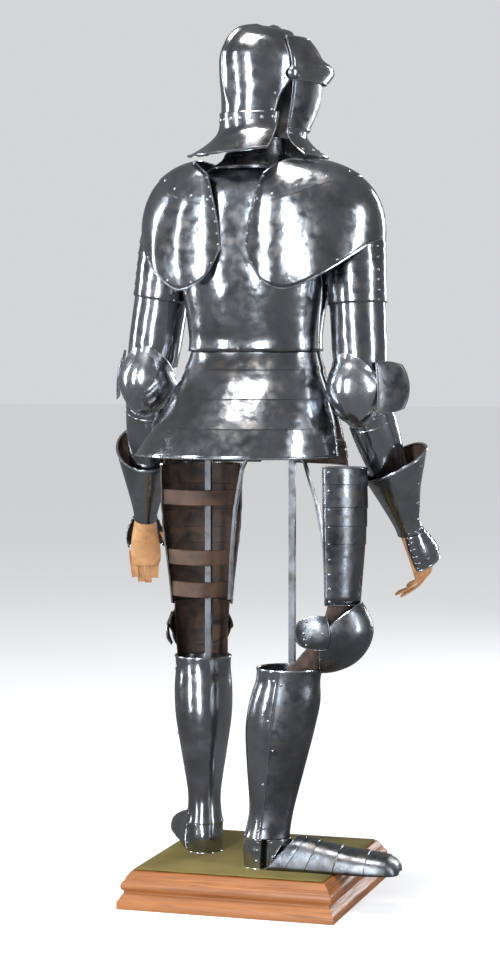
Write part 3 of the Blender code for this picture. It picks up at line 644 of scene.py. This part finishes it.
def body(low, high, start, end, grow=0.0, square=2.2):
    """Part of the trunk between two row numbers of its table."""
    inner = ring_skin(BODY, lambda t: edge(start, t, low, high), lambda t: edge(end, t, low, high), square, grow)
    last = len(BODY) - 1
    return lambda u, v: inner(u, (low + (high - low) * v) / last)


def edge(value, t, low, high):
    if not callable(value):
        return value
    return value((t * (len(BODY) - 1) - low) / (high - low))

TRUNK = place((0.0, 0.02, 0.0), -5)
back_cut = (90.3, 90.9, 96, 116, 128, 132, 134)
front_cut = (89.7, 88.9, 78, 62, 52, 46, 44)
low, high = 3.85, 10.4
back = Skin(body(low, high, lambda v: curve(back_cut, v), lambda v: 360 - curve(back_cut, v)), TRUNK)
plate("backplate", back, 64, 40, rolls=(("first", 0.0018), ("last", 0.0018), ("high", 0.0018)),
      rivets=row(2, (0.46, 0.03), (0.54, 0.03)) + [(0.5, 0.015)])
front = Skin(body(low, high, lambda v: -curve(front_cut, v), lambda v: curve(front_cut, v)), TRUNK)
plate("breastplate", front, 64, 40, rolls=(("first", 0.0024), ("last", 0.0024), ("high", 0.0024)))
under = -(PLATE + GAP + 0.0018)
lines = (0.25, 0.5, 0.75)
culet = Skin(body(0, 4.15, 94, 266, under - LAME_STEP, 2.1), TRUNK, relief=lames(lines))
creases = [(u, v) for u in (0.03, 0.97) for v in (0.06, 0.31, 0.56, 0.80)]
plate("culet", culet, 64, finer(lame_rows(lines, 2), 3),
      rolls=(("low", 0.0022), ("first", 0.0014), ("last", 0.0014)),
      rivets=creases + [(0.5, 0.965), (0.30, 0.965), (0.70, 0.965)], inside=INSIDE)
lines = (0.34, 0.67)
fauld = Skin(body(0.6, 4.15, -86, 86, under - LAME_STEP, 2.1), TRUNK, relief=lames(lines))
plate("fauld", fauld, 56, finer(lame_rows(lines, 2), 3), rolls=(("first", 0.0014), ("last", 0.0014)),
      rivets=[(u, v) for u in (0.03, 0.5, 0.97) for v in (0.06, 0.40, 0.73)], inside=INSIDE)
tasset = [
    Ring(0.940, 0.020, 0.000, 0.220, 0.170, 0.2), Ring(0.966, 0.021, 0.002, 0.222, 0.165, 0.2),
    Ring(0.9931, 0.022, 0.003, 0.2195, 0.1570, 0.2),
]
for mark, first, last in (("r", -76, -8), ("l", 8, 76)):
    lines = (0.36, 0.70)
    skin = Skin(ring_skin(tasset, first, last, 2.1, 0.0012), TRUNK, relief=lames(lines))
    plate(f"tasset_{mark}", skin, 28, finer(lame_rows(lines, 1), 4),
          rolls=(("low", 0.0028), ("first", 0.0018), ("last", 0.0018)),
          rivets=row(6, (0.08, 0.06), (0.92, 0.06)) + row(3, (0.05, 0.2), (0.05, 0.9))
          + row(3, (0.95, 0.2), (0.95, 0.9)), inside=INSIDE)
neck = body(10.42, 12, 0, 360, 0.0, 2.2)
lines = (0.5, 0.75)
# The gorget plates take the darker steel: painted shade under the helmet
for name, start in (("gorget_back", 0.2507), ("gorget_front", -0.2493)):
    skin = Skin(lambda u, v, s=start: neck(s + 0.4986 * u, v), TRUNK, relief=lames(lines, 0.0015))
    plate(name, skin, 44, finer(lame_rows(lines, 1), 4), SHADED_STAINED_STEEL, rolls=(("high", 0.0016),),
          rivets=row(2, (0.04, 0.55), (0.96, 0.55)))


# ---- Shoulders and arms ----

ARMS = (
    Arm("r", (-0.243, 0.045, 1.1073), (-0.226, 0.040, 1.430), -22, 26, 0),
    Arm("l", (0.259, -0.030, 1.124), (0.207, -0.020, 1.434), 2, 20, -62),
)

PAULDRON = [
    ((0.070, -0.150, 1.455), (0.070, -0.158, 1.500), (0.075, -0.135, 1.550), (0.090, -0.096, 1.582)),
    ((0.130, -0.150, 1.425), (0.138, -0.162, 1.490), (0.125, -0.120, 1.562), (0.108, -0.078, 1.590)),
    ((0.195, -0.112, 1.432), (0.208, -0.128, 1.490), (0.190, -0.095, 1.570), (0.120, -0.050, 1.596)),
    ((0.246, -0.035, 1.440), (0.256, -0.035, 1.500), (0.225, -0.028, 1.582), (0.126, -0.005, 1.600)),
    ((0.246, 0.050, 1.434), (0.254, 0.050, 1.500), (0.222, 0.045, 1.582), (0.124, 0.032, 1.598)),
    ((0.190, 0.122, 1.365), (0.204, 0.126, 1.460), (0.180, 0.100, 1.570), (0.115, 0.066, 1.594)),
    ((0.125, 0.136, 1.318), (0.132, 0.160, 1.420), (0.125, 0.140, 1.545), (0.100, 0.092, 1.588)),
    ((0.066, 0.138, 1.340), (0.062, 0.148, 1.420), (0.070, 0.144, 1.522), (0.082, 0.106, 1.576)),
    ((0.030, 0.1288, 1.400), (0.028, 0.130, 1.440), (0.042, 0.132, 1.502), (0.064, 0.114, 1.562)),
]

PAULDRON_LINES = (0.62,)


def pauldron_rows(out, drop):
    """The pauldron's rows with its outer meridians moved out, and their lower edge down, over a spread arm."""
    rows = []
    for row in PAULDRON:
        far = [min(1.0, max(0.0, (x - 0.13) / 0.11)) for x, y, z in row]
        rows.append([(x + out * f, y, z - drop * f * (i == 0)) for i, ((x, y, z), f) in enumerate(zip(row, far))])
    return rows


PAULDRON_OUT = {"r": (0.038, 0.018), "l": (-0.002, 0.0)}

UPPER_ARM = [Ring(0.035, 0, 0, 0.0580, 0.0580, 0.0580), Ring(0.090, 0, 0, 0.0610, 0.0610, 0.0610),
             Ring(0.180, 0, 0, 0.0620, 0.0620, 0.0620), Ring(0.250, 0, 0, 0.0640, 0.0645, 0.0645),
             Ring(0.312, 0, 0, 0.0650, 0.0670, 0.0670)]

LOWER_ARM = [Ring(-0.250, 0, 0, 0.0390, 0.0390, 0.0390), Ring(-0.190, 0, 0, 0.0425, 0.0425, 0.0425),
             Ring(-0.110, 0, 0, 0.0500, 0.0500, 0.0500), Ring(-0.040, 0, 0, 0.0515, 0.0515, 0.0515)]

ARM_LINES = (0.14, 0.30, 0.46, 0.64, 0.82)


def couter_slices(bend):
    """Slices of the elbow cop; the last ones sit against the forearm, which hangs bend degrees forward."""
    top = [Slice(128, 0.0590, 0.0945), Slice(138, 0.0600, 0.0870), Slice(155, 0.0640, 0.0850),
           Slice(180, 0.0660, 0.0870)]
    low = [Slice(205 + bend, 0.0620, 0.0825), Slice(222 + bend, 0.0575, 0.0815),
           Slice(232 + bend, 0.0560, 0.0827 + 0.00006 * bend)]
    return top + low


WING = [
    ((0.0600, 0.028, 0.052), (0.070, 0.000, 0.056), (0.070, -0.025, 0.052), (0.078, -0.042, 0.046)),
    ((0.0630, 0.030, 0.026), (0.077, 0.000, 0.028), (0.076, -0.035, 0.028), (0.082, -0.052, 0.026)),
    ((0.0640, 0.032, 0.000), (0.080, 0.000, 0.000), (0.078, -0.038, 0.000), (0.084, -0.056, 0.000)),
    ((0.0630, 0.030, -0.026), (0.077, 0.000, -0.028), (0.076, -0.035, -0.028), (0.082, -0.052, -0.026)),
    ((0.0600, 0.028, -0.052), (0.070, 0.000, -0.056), (0.070, -0.025, -0.052), (0.078, -0.042, -0.046)),
]

CUFF = [Ring(-0.351, 0.002, 0, 0.0300, 0.0270, 0.0270), Ring(-0.335, 0.002, 0, 0.0300, 0.0275, 0.0275),
        Ring(-0.300, 0.004, 0, 0.0365, 0.0360, 0.0360), Ring(-0.250, 0.008, 0, 0.0500, 0.0500, 0.0500),
        Ring(-0.200, 0.015, 0, 0.0680, 0.0660, 0.0640), Ring(-0.165, 0.022, 0, 0.0780, 0.0740, 0.0700)]


def cuff_point(u, v):
    rise = 0.5 + 0.5 * math.cos(math.tau * u - math.radians(75))
    return ring_skin(CUFF, 0, 360)(u, v * (0.78 + 0.22 * rise))


HAND = [Ring(-0.430, 0.010, -0.004, 0.0300, 0.0440, 0.0400), Ring(-0.405, 0.010, -0.002, 0.0340, 0.0460, 0.0420),
        Ring(-0.375, 0.006, 0.000, 0.0330, 0.0380, 0.0360), Ring(-0.3515, 0.0025, 0.000, 0.0302, 0.0275, 0.0275)]

# The glove's palm in rings (z, x, y, half width, half depth), the fingers' (y, length), and how far each hand closes
PALM = [(-0.470, -0.004, -0.005, 0.008, 0.030), (-0.462, -0.003, -0.005, 0.0125, 0.034),
        (-0.430, 0.004, -0.003, 0.0150, 0.036), (-0.385, 0.003, 0.000, 0.0185, 0.029),
        (-0.352, 0.002, 0.000, 0.0235, 0.0235), (-0.300, 0.002, 0.000, 0.0240, 0.0240)]
PALM_SIDES = 24
FINGERS = ((-0.030, 0.070), (-0.011, 0.084), (0.009, 0.080), (0.027, 0.064))
CLOSED = {"r": 0.078, "l": 0.022}

for spec in ARMS:
    mark = spec.side
    flip = mark == "r"
    elbow = Vector(spec.elbow)
    at = aim(elbow, Vector(spec.shoulder) - elbow, heading(spec.turn))
    fore = at @ Matrix.Rotation(math.radians(-spec.bend), 4, "X")
    wrist = fore @ Matrix.Rotation(math.radians(spec.twist), 4, "Z")
    pad = Skin(patch_skin(pauldron_rows(*PAULDRON_OUT[mark])), TRUNK, flip, lames(PAULDRON_LINES, 0.0016))
    rim = row(4, (0.985, 0.12), (0.975, 0.58)) + row(4, (0.93, 0.03), (0.60, 0.035))
    rim += row(7, (0.25, 0.675), (0.93, 0.675)) + row(3, (0.97, 0.72), (0.97, 0.95))
    plate(f"pauldron_{mark}", pad, 72, finer(lame_rows(PAULDRON_LINES, 4), 5),
          rolls=(("low", 0.0022), ("first", 0.0022), ("last", 0.0022), ("high", 0.0016)), rivets=rim, head=0.0030)
    whole = ring_skin(UPPER_ARM, 0, 360, grow=-(PLATE + GAP))
    tubes = Skin(lambda u, v, w=whole: w(u, 0.55 * v), at, flip)
    plate(f"cannon_upper_{mark}", tubes, 56, 16, closed=True, rolls=(("low", 0.0012),))
    upper = ring_skin(UPPER_ARM, 0, 360)
    steps = Skin(lambda u, v, w=upper: w(u, 0.5 + 0.5 * v), at, flip, lames(ARM_LINES, 0.0016))
    spots = [(u, v) for u in (0.27, 0.62) for v in (0.03, 0.17, 0.33, 0.49, 0.67, 0.85)]
    plate(f"arm_lames_{mark}", steps, 56, finer(lame_rows(ARM_LINES, 1), 3), closed=True,
          rolls=(("high", 0.0016),), rivets=spots, head=0.0030)
    # The cops' slices run the other way round, so their first look is the inside's
    cop = Skin(slice_skin(couter_slices(spec.bend), 6), at, flip)
    # The elbow cop's outer face takes the lighter steel, a painted highlight; its inside takes the darker steel
    plate(f"couter_{mark}", cop, 48, 40, SHADED_STAINED_STEEL, rolls=(("low", 0.0016), ("high", 0.0016)), inside=HIGHLIT_CLEAN_STEEL)
    wing = Skin(patch_skin(WING), at, flip)
    plate(f"couter_wing_{mark}", wing, 30, 20, rolls=(("high", 0.0020), ("first", 0.0014), ("last", 0.0014)),
          rivets=row(6, (0.10, 0.62), (0.90, 0.62)), head=0.0028)
    lower = Skin(ring_skin(LOWER_ARM, 0, 360), fore, flip)
    plate(f"cannon_lower_{mark}", lower, 56, 24, closed=True, rolls=(("low", 0.0012),),
          rivets=row(4, (0.30, 0.1), (0.30, 0.8)) + row(3, (0.05, 0.88), (0.55, 0.88)), head=0.0028)
    seam = [lower.on(0.28, v / 20, 0.0002) for v in range(1, 20)]
    tube(f"cannon_seam_{mark}", seam, 0.0008, SHADED_STAINED_STEEL)
    # Two bands of the lighter steel round the forearm: painted highlight
    for k, v in enumerate((0.80, 0.90)):
        ring = [lower.on(u / 48, v, 0.0004) for u in range(48)]
        tube(f"cannon_band_{mark}_{k}", ring, 0.0011, HIGHLIT_CLEAN_STEEL, closed=True)
    cuff = Skin(cuff_point, wrist, flip)
    plate(f"gauntlet_cuff_{mark}", cuff, 64, 30, closed=True, rolls=(("high", 0.0030),),
          rivets=row(5, (0.10, 0.12), (0.42, 0.12)) + row(4, (0.25, 0.3), (0.25, 0.85)), head=0.0030, inside=INSIDE)
    lines = (0.28, 0.46, 0.64, 0.82)
    lame = Skin(ring_skin(HAND, 5, 175), wrist, flip, lames(lines, 0.0014, False))
    plate(f"gauntlet_lames_{mark}", lame, 32, finer(lame_rows(lines, 1), 3), rolls=(("low", 0.0022),),
          rivets=row(6, (0.06, 0.12), (0.06, 0.95)) + row(6, (0.94, 0.12), (0.94, 0.95)), head=0.0026)

    # Hand: a leather palm inside the plates, and flat finger strips whose punched holes are dark discs of painted
    # shade
    sign = -1 if flip else 1

    def spot(x, y, z, m=wrist, s=sign):
        return m @ Vector((s * x, y, z))

    points = [spot(x + wide * math.cos(math.tau * k / PALM_SIDES), y + deep * math.sin(math.tau * k / PALM_SIDES), z)
              for z, x, y, wide, deep in PALM for k in range(PALM_SIDES)]
    faces = strip_faces(len(PALM), PALM_SIDES, True)
    faces += [tuple(range(PALM_SIDES))[::-1], tuple(range(len(points) - PALM_SIDES, len(points)))]
    if flip:
        faces = [f[::-1] for f in faces]
    palm = add_mesh(f"glove_{mark}_palm", points, faces, TAN)
    palm.modifiers.new("soft", "SUBSURF").levels = 2
    palm.modifiers["soft"].render_levels = 2
    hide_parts(f"glove_{mark}")
    close = CLOSED[mark]
    for k, (y, long) in enumerate(FINGERS):
        path, face = [], []
        for i in range(15):
            t = i / 14
            path.append(spot(0.006 - close * t * t, y * (1 - 0.2 * t), -0.436 - long * (t - 0.12 * t * t)))
            out = Vector((sign * long * (1 - 0.24 * t), 0, -2 * close * t))
            face.append((wrist.to_3x3() @ out).normalized())
        band(f"finger_{mark}_{k}", path, face, 0.0165, 0.0045, TAN)
        # Dark discs on each finger strip stand for the punched holes: painted shade inside the holes
        holes = [(path[i] + face[i] * 0.0042, face[i]) for i in (4, 6, 8, 10, 12)]
        heads(f"finger_{mark}_{k}_holes", holes, 0.0017, HOLE_SHADE, high=0.25)
    path = [spot(-0.006 - 0.016 * t, -0.036 - 0.020 * math.sin(1.6 * t), -0.385 - 0.068 * t) for t in
            (i / 10 for i in range(11))]
    side = [(wrist.to_3x3() @ Vector((sign * 0.35, -0.93, 0.1))).normalized()] * 11
    band(f"thumb_{mark}", path, side, 0.017, 0.0045, TAN)
    disc = [(spot(0.010, -0.050, -0.408), (wrist.to_3x3() @ Vector((sign * 0.8, -0.6, 0))).normalized())]
    heads(f"thumb_disc_{mark}", disc, 0.011, RIVET, high=0.35)

# ---- Legs ----

LEGS = (
    Leg("r", (-0.056, 0.112), -87, 7.4, (-0.186, 0.100, 0.596), (0.012, -0.030, 0.33), -82),
    Leg("l", (0.127, -0.011), 24, 4.4, (0.140, -0.033, 0.575), (0.0, 0.01, 1.0), 12),
)

SHIN = [Ring(0.148, 0, 0, 0.0420, 0.0570, 0.0440), Ring(0.170, 0, 0, 0.0375, 0.0560, 0.0400),
        Ring(0.216, 0, 0, 0.0370, 0.0590, 0.0400), Ring(0.300, 0, 0, 0.0500, 0.0700, 0.0560),
        Ring(0.380, 0, 0, 0.0620, 0.0800, 0.0690), Ring(0.440, 0, 0, 0.0640, 0.0850, 0.0680),
        Ring(0.485, 0, 0, 0.0610, 0.0790, 0.0600), Ring(0.512, 0, 0, 0.0620, 0.0800, 0.0610)]

ANKLE_Z = 0.216

HEEL = [Ring(0.0, 0, 0, 0.0400, 0.045, 0.0450), Ring(0.030, 0, 0, 0.0410, 0.045, 0.0480),
        Ring(0.050, 0, 0, 0.0405, 0.045, 0.0460), Ring(0.0638, 0, 0, 0.0420, 0.047, 0.0440)]

TOES = [(-0.287, 0.018, 0.004), (-0.284, 0.036, 0.020), (-0.268, 0.048, 0.034), (-0.235, 0.053, 0.041),
        (-0.180, 0.051, 0.048), (-0.125, 0.046, 0.058), (-0.090, 0.043, 0.066), (-0.066, 0.0415, 0.068)]

TOE_LINES = (0.30, 0.46, 0.61, 0.75, 0.88)

THIGH = [Ring(0.0520, 0, 0, 0.0660, 0.0680, 0.0700), Ring(0.110, 0, 0, 0.0720, 0.0740, 0.0740),
         Ring(0.180, 0, 0, 0.0810, 0.0810, 0.0810), Ring(0.260, 0, 0, 0.0880, 0.0860, 0.0860),
         Ring(0.332, 0, 0, 0.0900, 0.0870, 0.0860)]

CUISSE_TOP = 0.936

THIGH_LINES = (0.50, 0.62, 0.74, 0.87)


def foot_point(u, v):
    y, wide, high = blend(TOES, v * (len(TOES) - 1))
    angle = math.pi * u
    rise = math.sin(angle) ** 0.8
    return Vector((wide * signed_power(math.cos(angle), 0.9), y + 0.062 * v**3 * (1 - rise), 0.0003 + high * rise))


def poleyn_slices(ahead, drop):
    """Slices of the knee cop; ahead and drop place the greave's upper rim
    behind and below the knee."""
    forward = 0.0823 - ahead
    forward -= PLATE * min(1.0, max(0.0, 0.7 - forward / drop))
    low = math.degrees(math.atan2(-drop, forward))
    return [Slice(low, 0.0640, math.hypot(drop, forward)), Slice(low * 0.72, 0.0655, 0.088),
            Slice(low * 0.36, 0.0680, 0.091), Slice(0, 0.0700, 0.096), Slice(20, 0.0700, 0.094),
            Slice(40, 0.0690, 0.0925)]


KNEE_WING = [
    ((0.0652, -0.012, 0.034), (0.071, 0.006, 0.038), (0.070, 0.028, 0.036), (0.076, 0.044, 0.026)),
    ((0.0710, -0.018, 0.017), (0.078, 0.006, 0.020), (0.074, 0.034, 0.020), (0.082, 0.050, 0.016)),
    ((0.0722, -0.020, 0.000), (0.080, 0.006, 0.000), (0.075, 0.036, 0.000), (0.083, 0.053, 0.000)),
    ((0.0710, -0.018, -0.017), (0.078, 0.006, -0.020), (0.074, 0.034, -0.020), (0.082, 0.050, -0.016)),
    ((0.0652, -0.012, -0.034), (0.071, 0.006, -0.038), (0.070, 0.028, -0.036), (0.076, 0.044, -0.026)),
]

POLEYN_LOW = 0.505
LINING_ROWS, LINING_COLUMNS, LINING_LAMES = 30, 32, 6
STRAP_WIDE, STRAP_SAG = {"r": 0.018, "l": 0.034}, {"r": 0.004, "l": 0.045}

for spec in LEGS:
    mark = spec.side
    flip = mark == "r"
    foot = place((*spec.foot, FLOOR), spec.turn)
    slope = math.tan(math.radians(spec.lean))
    shin = [Ring(r.z - FLOOR, r.x, r.y - (r.z - ANKLE_Z) * slope, r.wide, r.front, r.back) for r in SHIN]
    shin_front = Skin(ring_skin(shin, -89.55, 89.55), foot, flip)
    # The right greave's front takes the darker steel: painted shade on that side of the leg
    plate(f"greave_front_{mark}", shin_front, 48, 44, SHADED_STAINED_STEEL if flip else STEEL,
          rolls=(("high", 0.0024), ("last", 0.0009), ("first", 0.0009)),
          rivets=row(3, (0.97, 0.15), (0.97, 0.85)))
    shin_back = Skin(ring_skin(shin, 90.45, 269.55), foot, flip)
    plate(f"greave_back_{mark}", shin_back, 48, 44, rolls=(("high", 0.0024), ("first", 0.0009), ("last", 0.0009)),
          rivets=row(4, (0.04, 0.12), (0.04, 0.88)))
    heel = [Ring(r.z + 0.0003, r.x, -(r.z + FLOOR - ANKLE_Z) * slope * 0.4, r.wide, r.front, r.back) for r in HEEL]
    plate(f"heel_{mark}", Skin(ring_skin(heel, 91, 269), foot, flip), 36, 16,
          rolls=(("high", 0.0014), ("low", 0.0014)), rivets=row(3, (0.06, 0.2), (0.06, 0.8)))
    shoe = Skin(foot_point, foot, flip, lames(TOE_LINES, 0.0014, False))
    plate(f"sabaton_{mark}", shoe, 44, finer(lame_rows(TOE_LINES, 1), 5), rolls=(("high", 0.0012),),
          rivets=[(u, v) for u in (0.055, 0.945) for v in (0.27, 0.42, 0.57, 0.71, 0.84, 0.95)], head=0.0030)
    instep = [Ring(0.003, 0, -0.002, 0.0372, 0.0380, 0.045), Ring(0.034, 0, -0.002, 0.0376, 0.0440, 0.045),
              Ring(0.052, 0, 0.003, 0.0395, 0.0540, 0.045), Ring(0.0641, 0, 0.008, 0.0420, 0.0590, 0.046)]
    plate(f"ankle_lames_{mark}", Skin(ring_skin(instep, -76, 76), foot, flip, lames((0.7,), 0.0010)), 32,
          finer(lame_rows((0.7,), 2), 4), rivets=row(2, (0.06, 0.25), (0.06, 0.8)) + row(2, (0.94, 0.25), (0.94, 0.8)),
          head=0.0026)
    knee = Vector(spec.knee)
    toward = heading(spec.turn)
    shin_up = (Vector((0, 0, 1)) + toward * slope).normalized()
    middle = Vector((*spec.foot, ANKLE_Z)) + shin_up * ((knee.z - ANKLE_Z) / shin_up.z)
    ahead = (knee - middle).dot(toward)
    bend_at = aim(knee, (0, 0, 1), toward)
    drop = knee.z - POLEYN_LOW
    slices = poleyn_slices(ahead + slope * drop + 0.0002 * flip, drop)
    cop = Skin(slice_skin(slices, 5), bend_at, flip)
    # The knee cop's outer face takes the darker steel: painted shade
    plate(f"poleyn_{mark}", cop, 48, 40, INSIDE, rolls=(("low", 0.0014), ("high", 0.0016)), inside=SHADED_STAINED_STEEL)
    # Ridges of the lighter steel round the knee cop: painted highlight
    for k, v in enumerate((0.16, 0.32, 0.84)):
        ridge = [cop.on(u / 40, v, 0.0004) for u in range(1, 40)]
        tube(f"poleyn_line_{mark}_{k}", ridge, 0.0012, HIGHLIT_CLEAN_STEEL)
    wing = Skin(patch_skin(KNEE_WING), bend_at, flip)
    # The knee wing takes the darker steel: painted shade
    plate(f"poleyn_wing_{mark}", wing, 30, 20, SHADED_STAINED_STEEL, rolls=(("high", 0.0020), ("first", 0.0014), ("last", 0.0014)),
          rivets=row(5, (0.15, 0.70), (0.85, 0.70)) + [(0.5, 0.2)], inside=INSIDE)
    thigh = aim(knee, Vector(spec.thigh), heading(spec.thigh_turn))
    upper = [*THIGH[:-1], THIGH[-1]._replace(z=(CUISSE_TOP - knee.z) / Vector(spec.thigh).normalized().z)]
    cuisse = Skin(ring_skin(upper, -86, 88), thigh, flip, lames(THIGH_LINES, 0.0016))
    # The cuisse's face takes the darker steel: painted shade
    plate(f"cuisse_{mark}", cuisse, 52, finer(lame_rows(THIGH_LINES, 1), 5), SHADED_STAINED_STEEL,
          rolls=(("low", 0.0014), ("high", 0.0026), ("first", 0.0020), ("last", 0.0020)),
          rivets=row(9, (0.955, 0.05), (0.955, 0.95)) + row(9, (0.045, 0.05), (0.045, 0.95)), inside=INSIDE)
    # Lining and lames behind the knee cop, from the greave's rim up into the cuisse
    points = []
    for j in range(LINING_ROWS + 1):
        t = j / LINING_ROWS
        push = toward * (0.016 * math.sin(math.pi * t)) - toward * (0.0016 * ((LINING_LAMES * t) % 1.0))
        for i in range(LINING_COLUMNS + 1):
            u = 0.04 + 0.92 * i / LINING_COLUMNS
            points.append(shin_front.on(u, 0.96, -0.005).lerp(cuisse.on(u, 0.03, -0.005), t) + push)
    faces = strip_faces(LINING_ROWS + 1, LINING_COLUMNS, False)
    lining = add_mesh(f"knee_lining_{mark}", points, [f[::-1] for f in faces] if flip else faces, INSIDE)
    lining.modifiers.new("thick", "SOLIDIFY").thickness = 0.0016
    for k, v in enumerate((0.16, 0.42, 0.82)):
        path, face = [], []
        first, last = cuisse.on(0.02, v, -0.006), cuisse.on(0.98, v, -0.006)
        behind = (thigh.to_3x3() @ Vector((0, 1, 0))).normalized()
        for i in range(17):
            t = i / 16
            path.append(first.lerp(last, t) + behind * (STRAP_SAG[mark] * math.sin(math.pi * t)))
            lean = (last - first).normalized() * (t - 0.5) * 1.6
            face.append((behind * math.sin(math.pi * t) + lean).normalized())
        band(f"thigh_strap_{mark}_{k}", path, face, STRAP_WIDE[mark], 0.0022, BROWN)


# ---- Floor, light and camera ----

# The photograph's camera: where it stands, its level heading, and its sizes in the picture's pixels
EYE = Vector((-1.489, 4.929, 1.200))
LOOK = Vector((0.2924, -0.9563, 0.0))
PICTURE_HIGH = 955
FOCAL = 2365
BELOW_LEVEL = 132.5
SENSOR = 36.0
FLOOR_REACH = 40

ground = bpy.data.meshes.new("floor")
corners = [(x * FLOOR_REACH, y * FLOOR_REACH, 0) for x, y in ((-1, -1), (1, -1), (1, 1), (-1, 1))]
ground.from_pydata(corners, [], [(0, 1, 2, 3)])
floor = bpy.data.objects.new("floor", ground)
bpy.context.scene.collection.objects.link(floor)
floor.visible_glossy = False
pale, nodes, links, shader = new_material("pale_floor")
shader.inputs["Base Color"].default_value = (0.62, 0.62, 0.62, 1)
shader.inputs["Roughness"].default_value = 0.9
shader.inputs["Emission Color"].default_value = (0.98, 0.985, 1.0, 1)
shader.inputs["Emission Strength"].default_value = 0.50
ground.materials.append(pale)


def lamp(name, at, aim_at, wide, high, power, tint):
    """A soft box or window at a place, turned to a point, in metres and watts."""
    light = bpy.data.lights.new(name, "AREA")
    light.shape = "RECTANGLE"
    light.size, light.size_y = wide, high
    light.energy = power
    light.color = tint
    obj = bpy.data.objects.new(name, light)
    bpy.context.scene.collection.objects.link(obj)
    obj.location = at
    obj.rotation_euler = (Vector(aim_at) - Vector(at)).to_track_quat("-Z", "Y").to_euler()


lamp("window", (0.4, 4.6, 2.0), (0, 0, 1.0), 0.55, 3.6, 200, (0.86, 0.93, 1.0))
lamp("second_window", (2.9, 3.2, 1.9), (0, 0, 0.9), 0.35, 3.4, 85, (0.86, 0.93, 1.0))
lamp("side_window", (-3.9, 1.2, 1.9), (0, 0, 0.9), 0.35, 3.2, 90, (0.86, 0.93, 1.0))
lamp("left_strip", (3.6, 0.2, 1.8), (0, 0, 1.1), 0.3, 2.4, 45, (0.92, 0.96, 1.0))
lamp("overhead", (0.3, 0.8, 4.2), (0, 0, 1.0), 1.4, 1.4, 120, (1.0, 0.98, 0.95))
lamp("front_strip", (-1.8, -4.2, 1.9), (0, 0, 1.0), 0.5, 3.0, 90, (0.95, 0.97, 1.0))

# The room that the steel mirrors is dim, and the background that the camera sees is pale
world = bpy.data.worlds.new("soft_room")
world.use_nodes = True
nodes, links = world.node_tree.nodes, world.node_tree.links
room = nodes["Background"]
room.inputs["Color"].default_value = (0.80, 0.81, 0.83, 1)
room.inputs["Strength"].default_value = 0.24
pale_back = nodes.new("ShaderNodeBackground")
pale_back.inputs["Color"].default_value = (0.66, 0.665, 0.68, 1)
ray = nodes.new("ShaderNodeLightPath")
either = nodes.new("ShaderNodeMixShader")
links.new(ray.outputs["Is Camera Ray"], either.inputs["Fac"])
links.new(room.outputs["Background"], either.inputs[1])
links.new(pale_back.outputs["Background"], either.inputs[2])
links.new(either.outputs["Shader"], nodes["World Output"].inputs["Surface"])
bpy.context.scene.world = world

lens = bpy.data.cameras.new("photo_camera")
lens.sensor_fit = "VERTICAL"
lens.sensor_height = SENSOR
lens.lens = SENSOR * FOCAL / PICTURE_HIGH
camera = bpy.data.objects.new("photo_camera", lens)
bpy.context.scene.collection.objects.link(camera)
camera.location = EYE
camera.rotation_euler = (LOOK - Vector((0, 0, BELOW_LEVEL / FOCAL))).to_track_quat("-Z", "Y").to_euler()
bpy.context.scene.camera = camera
bpy.context.scene.view_settings.view_transform = "Standard"
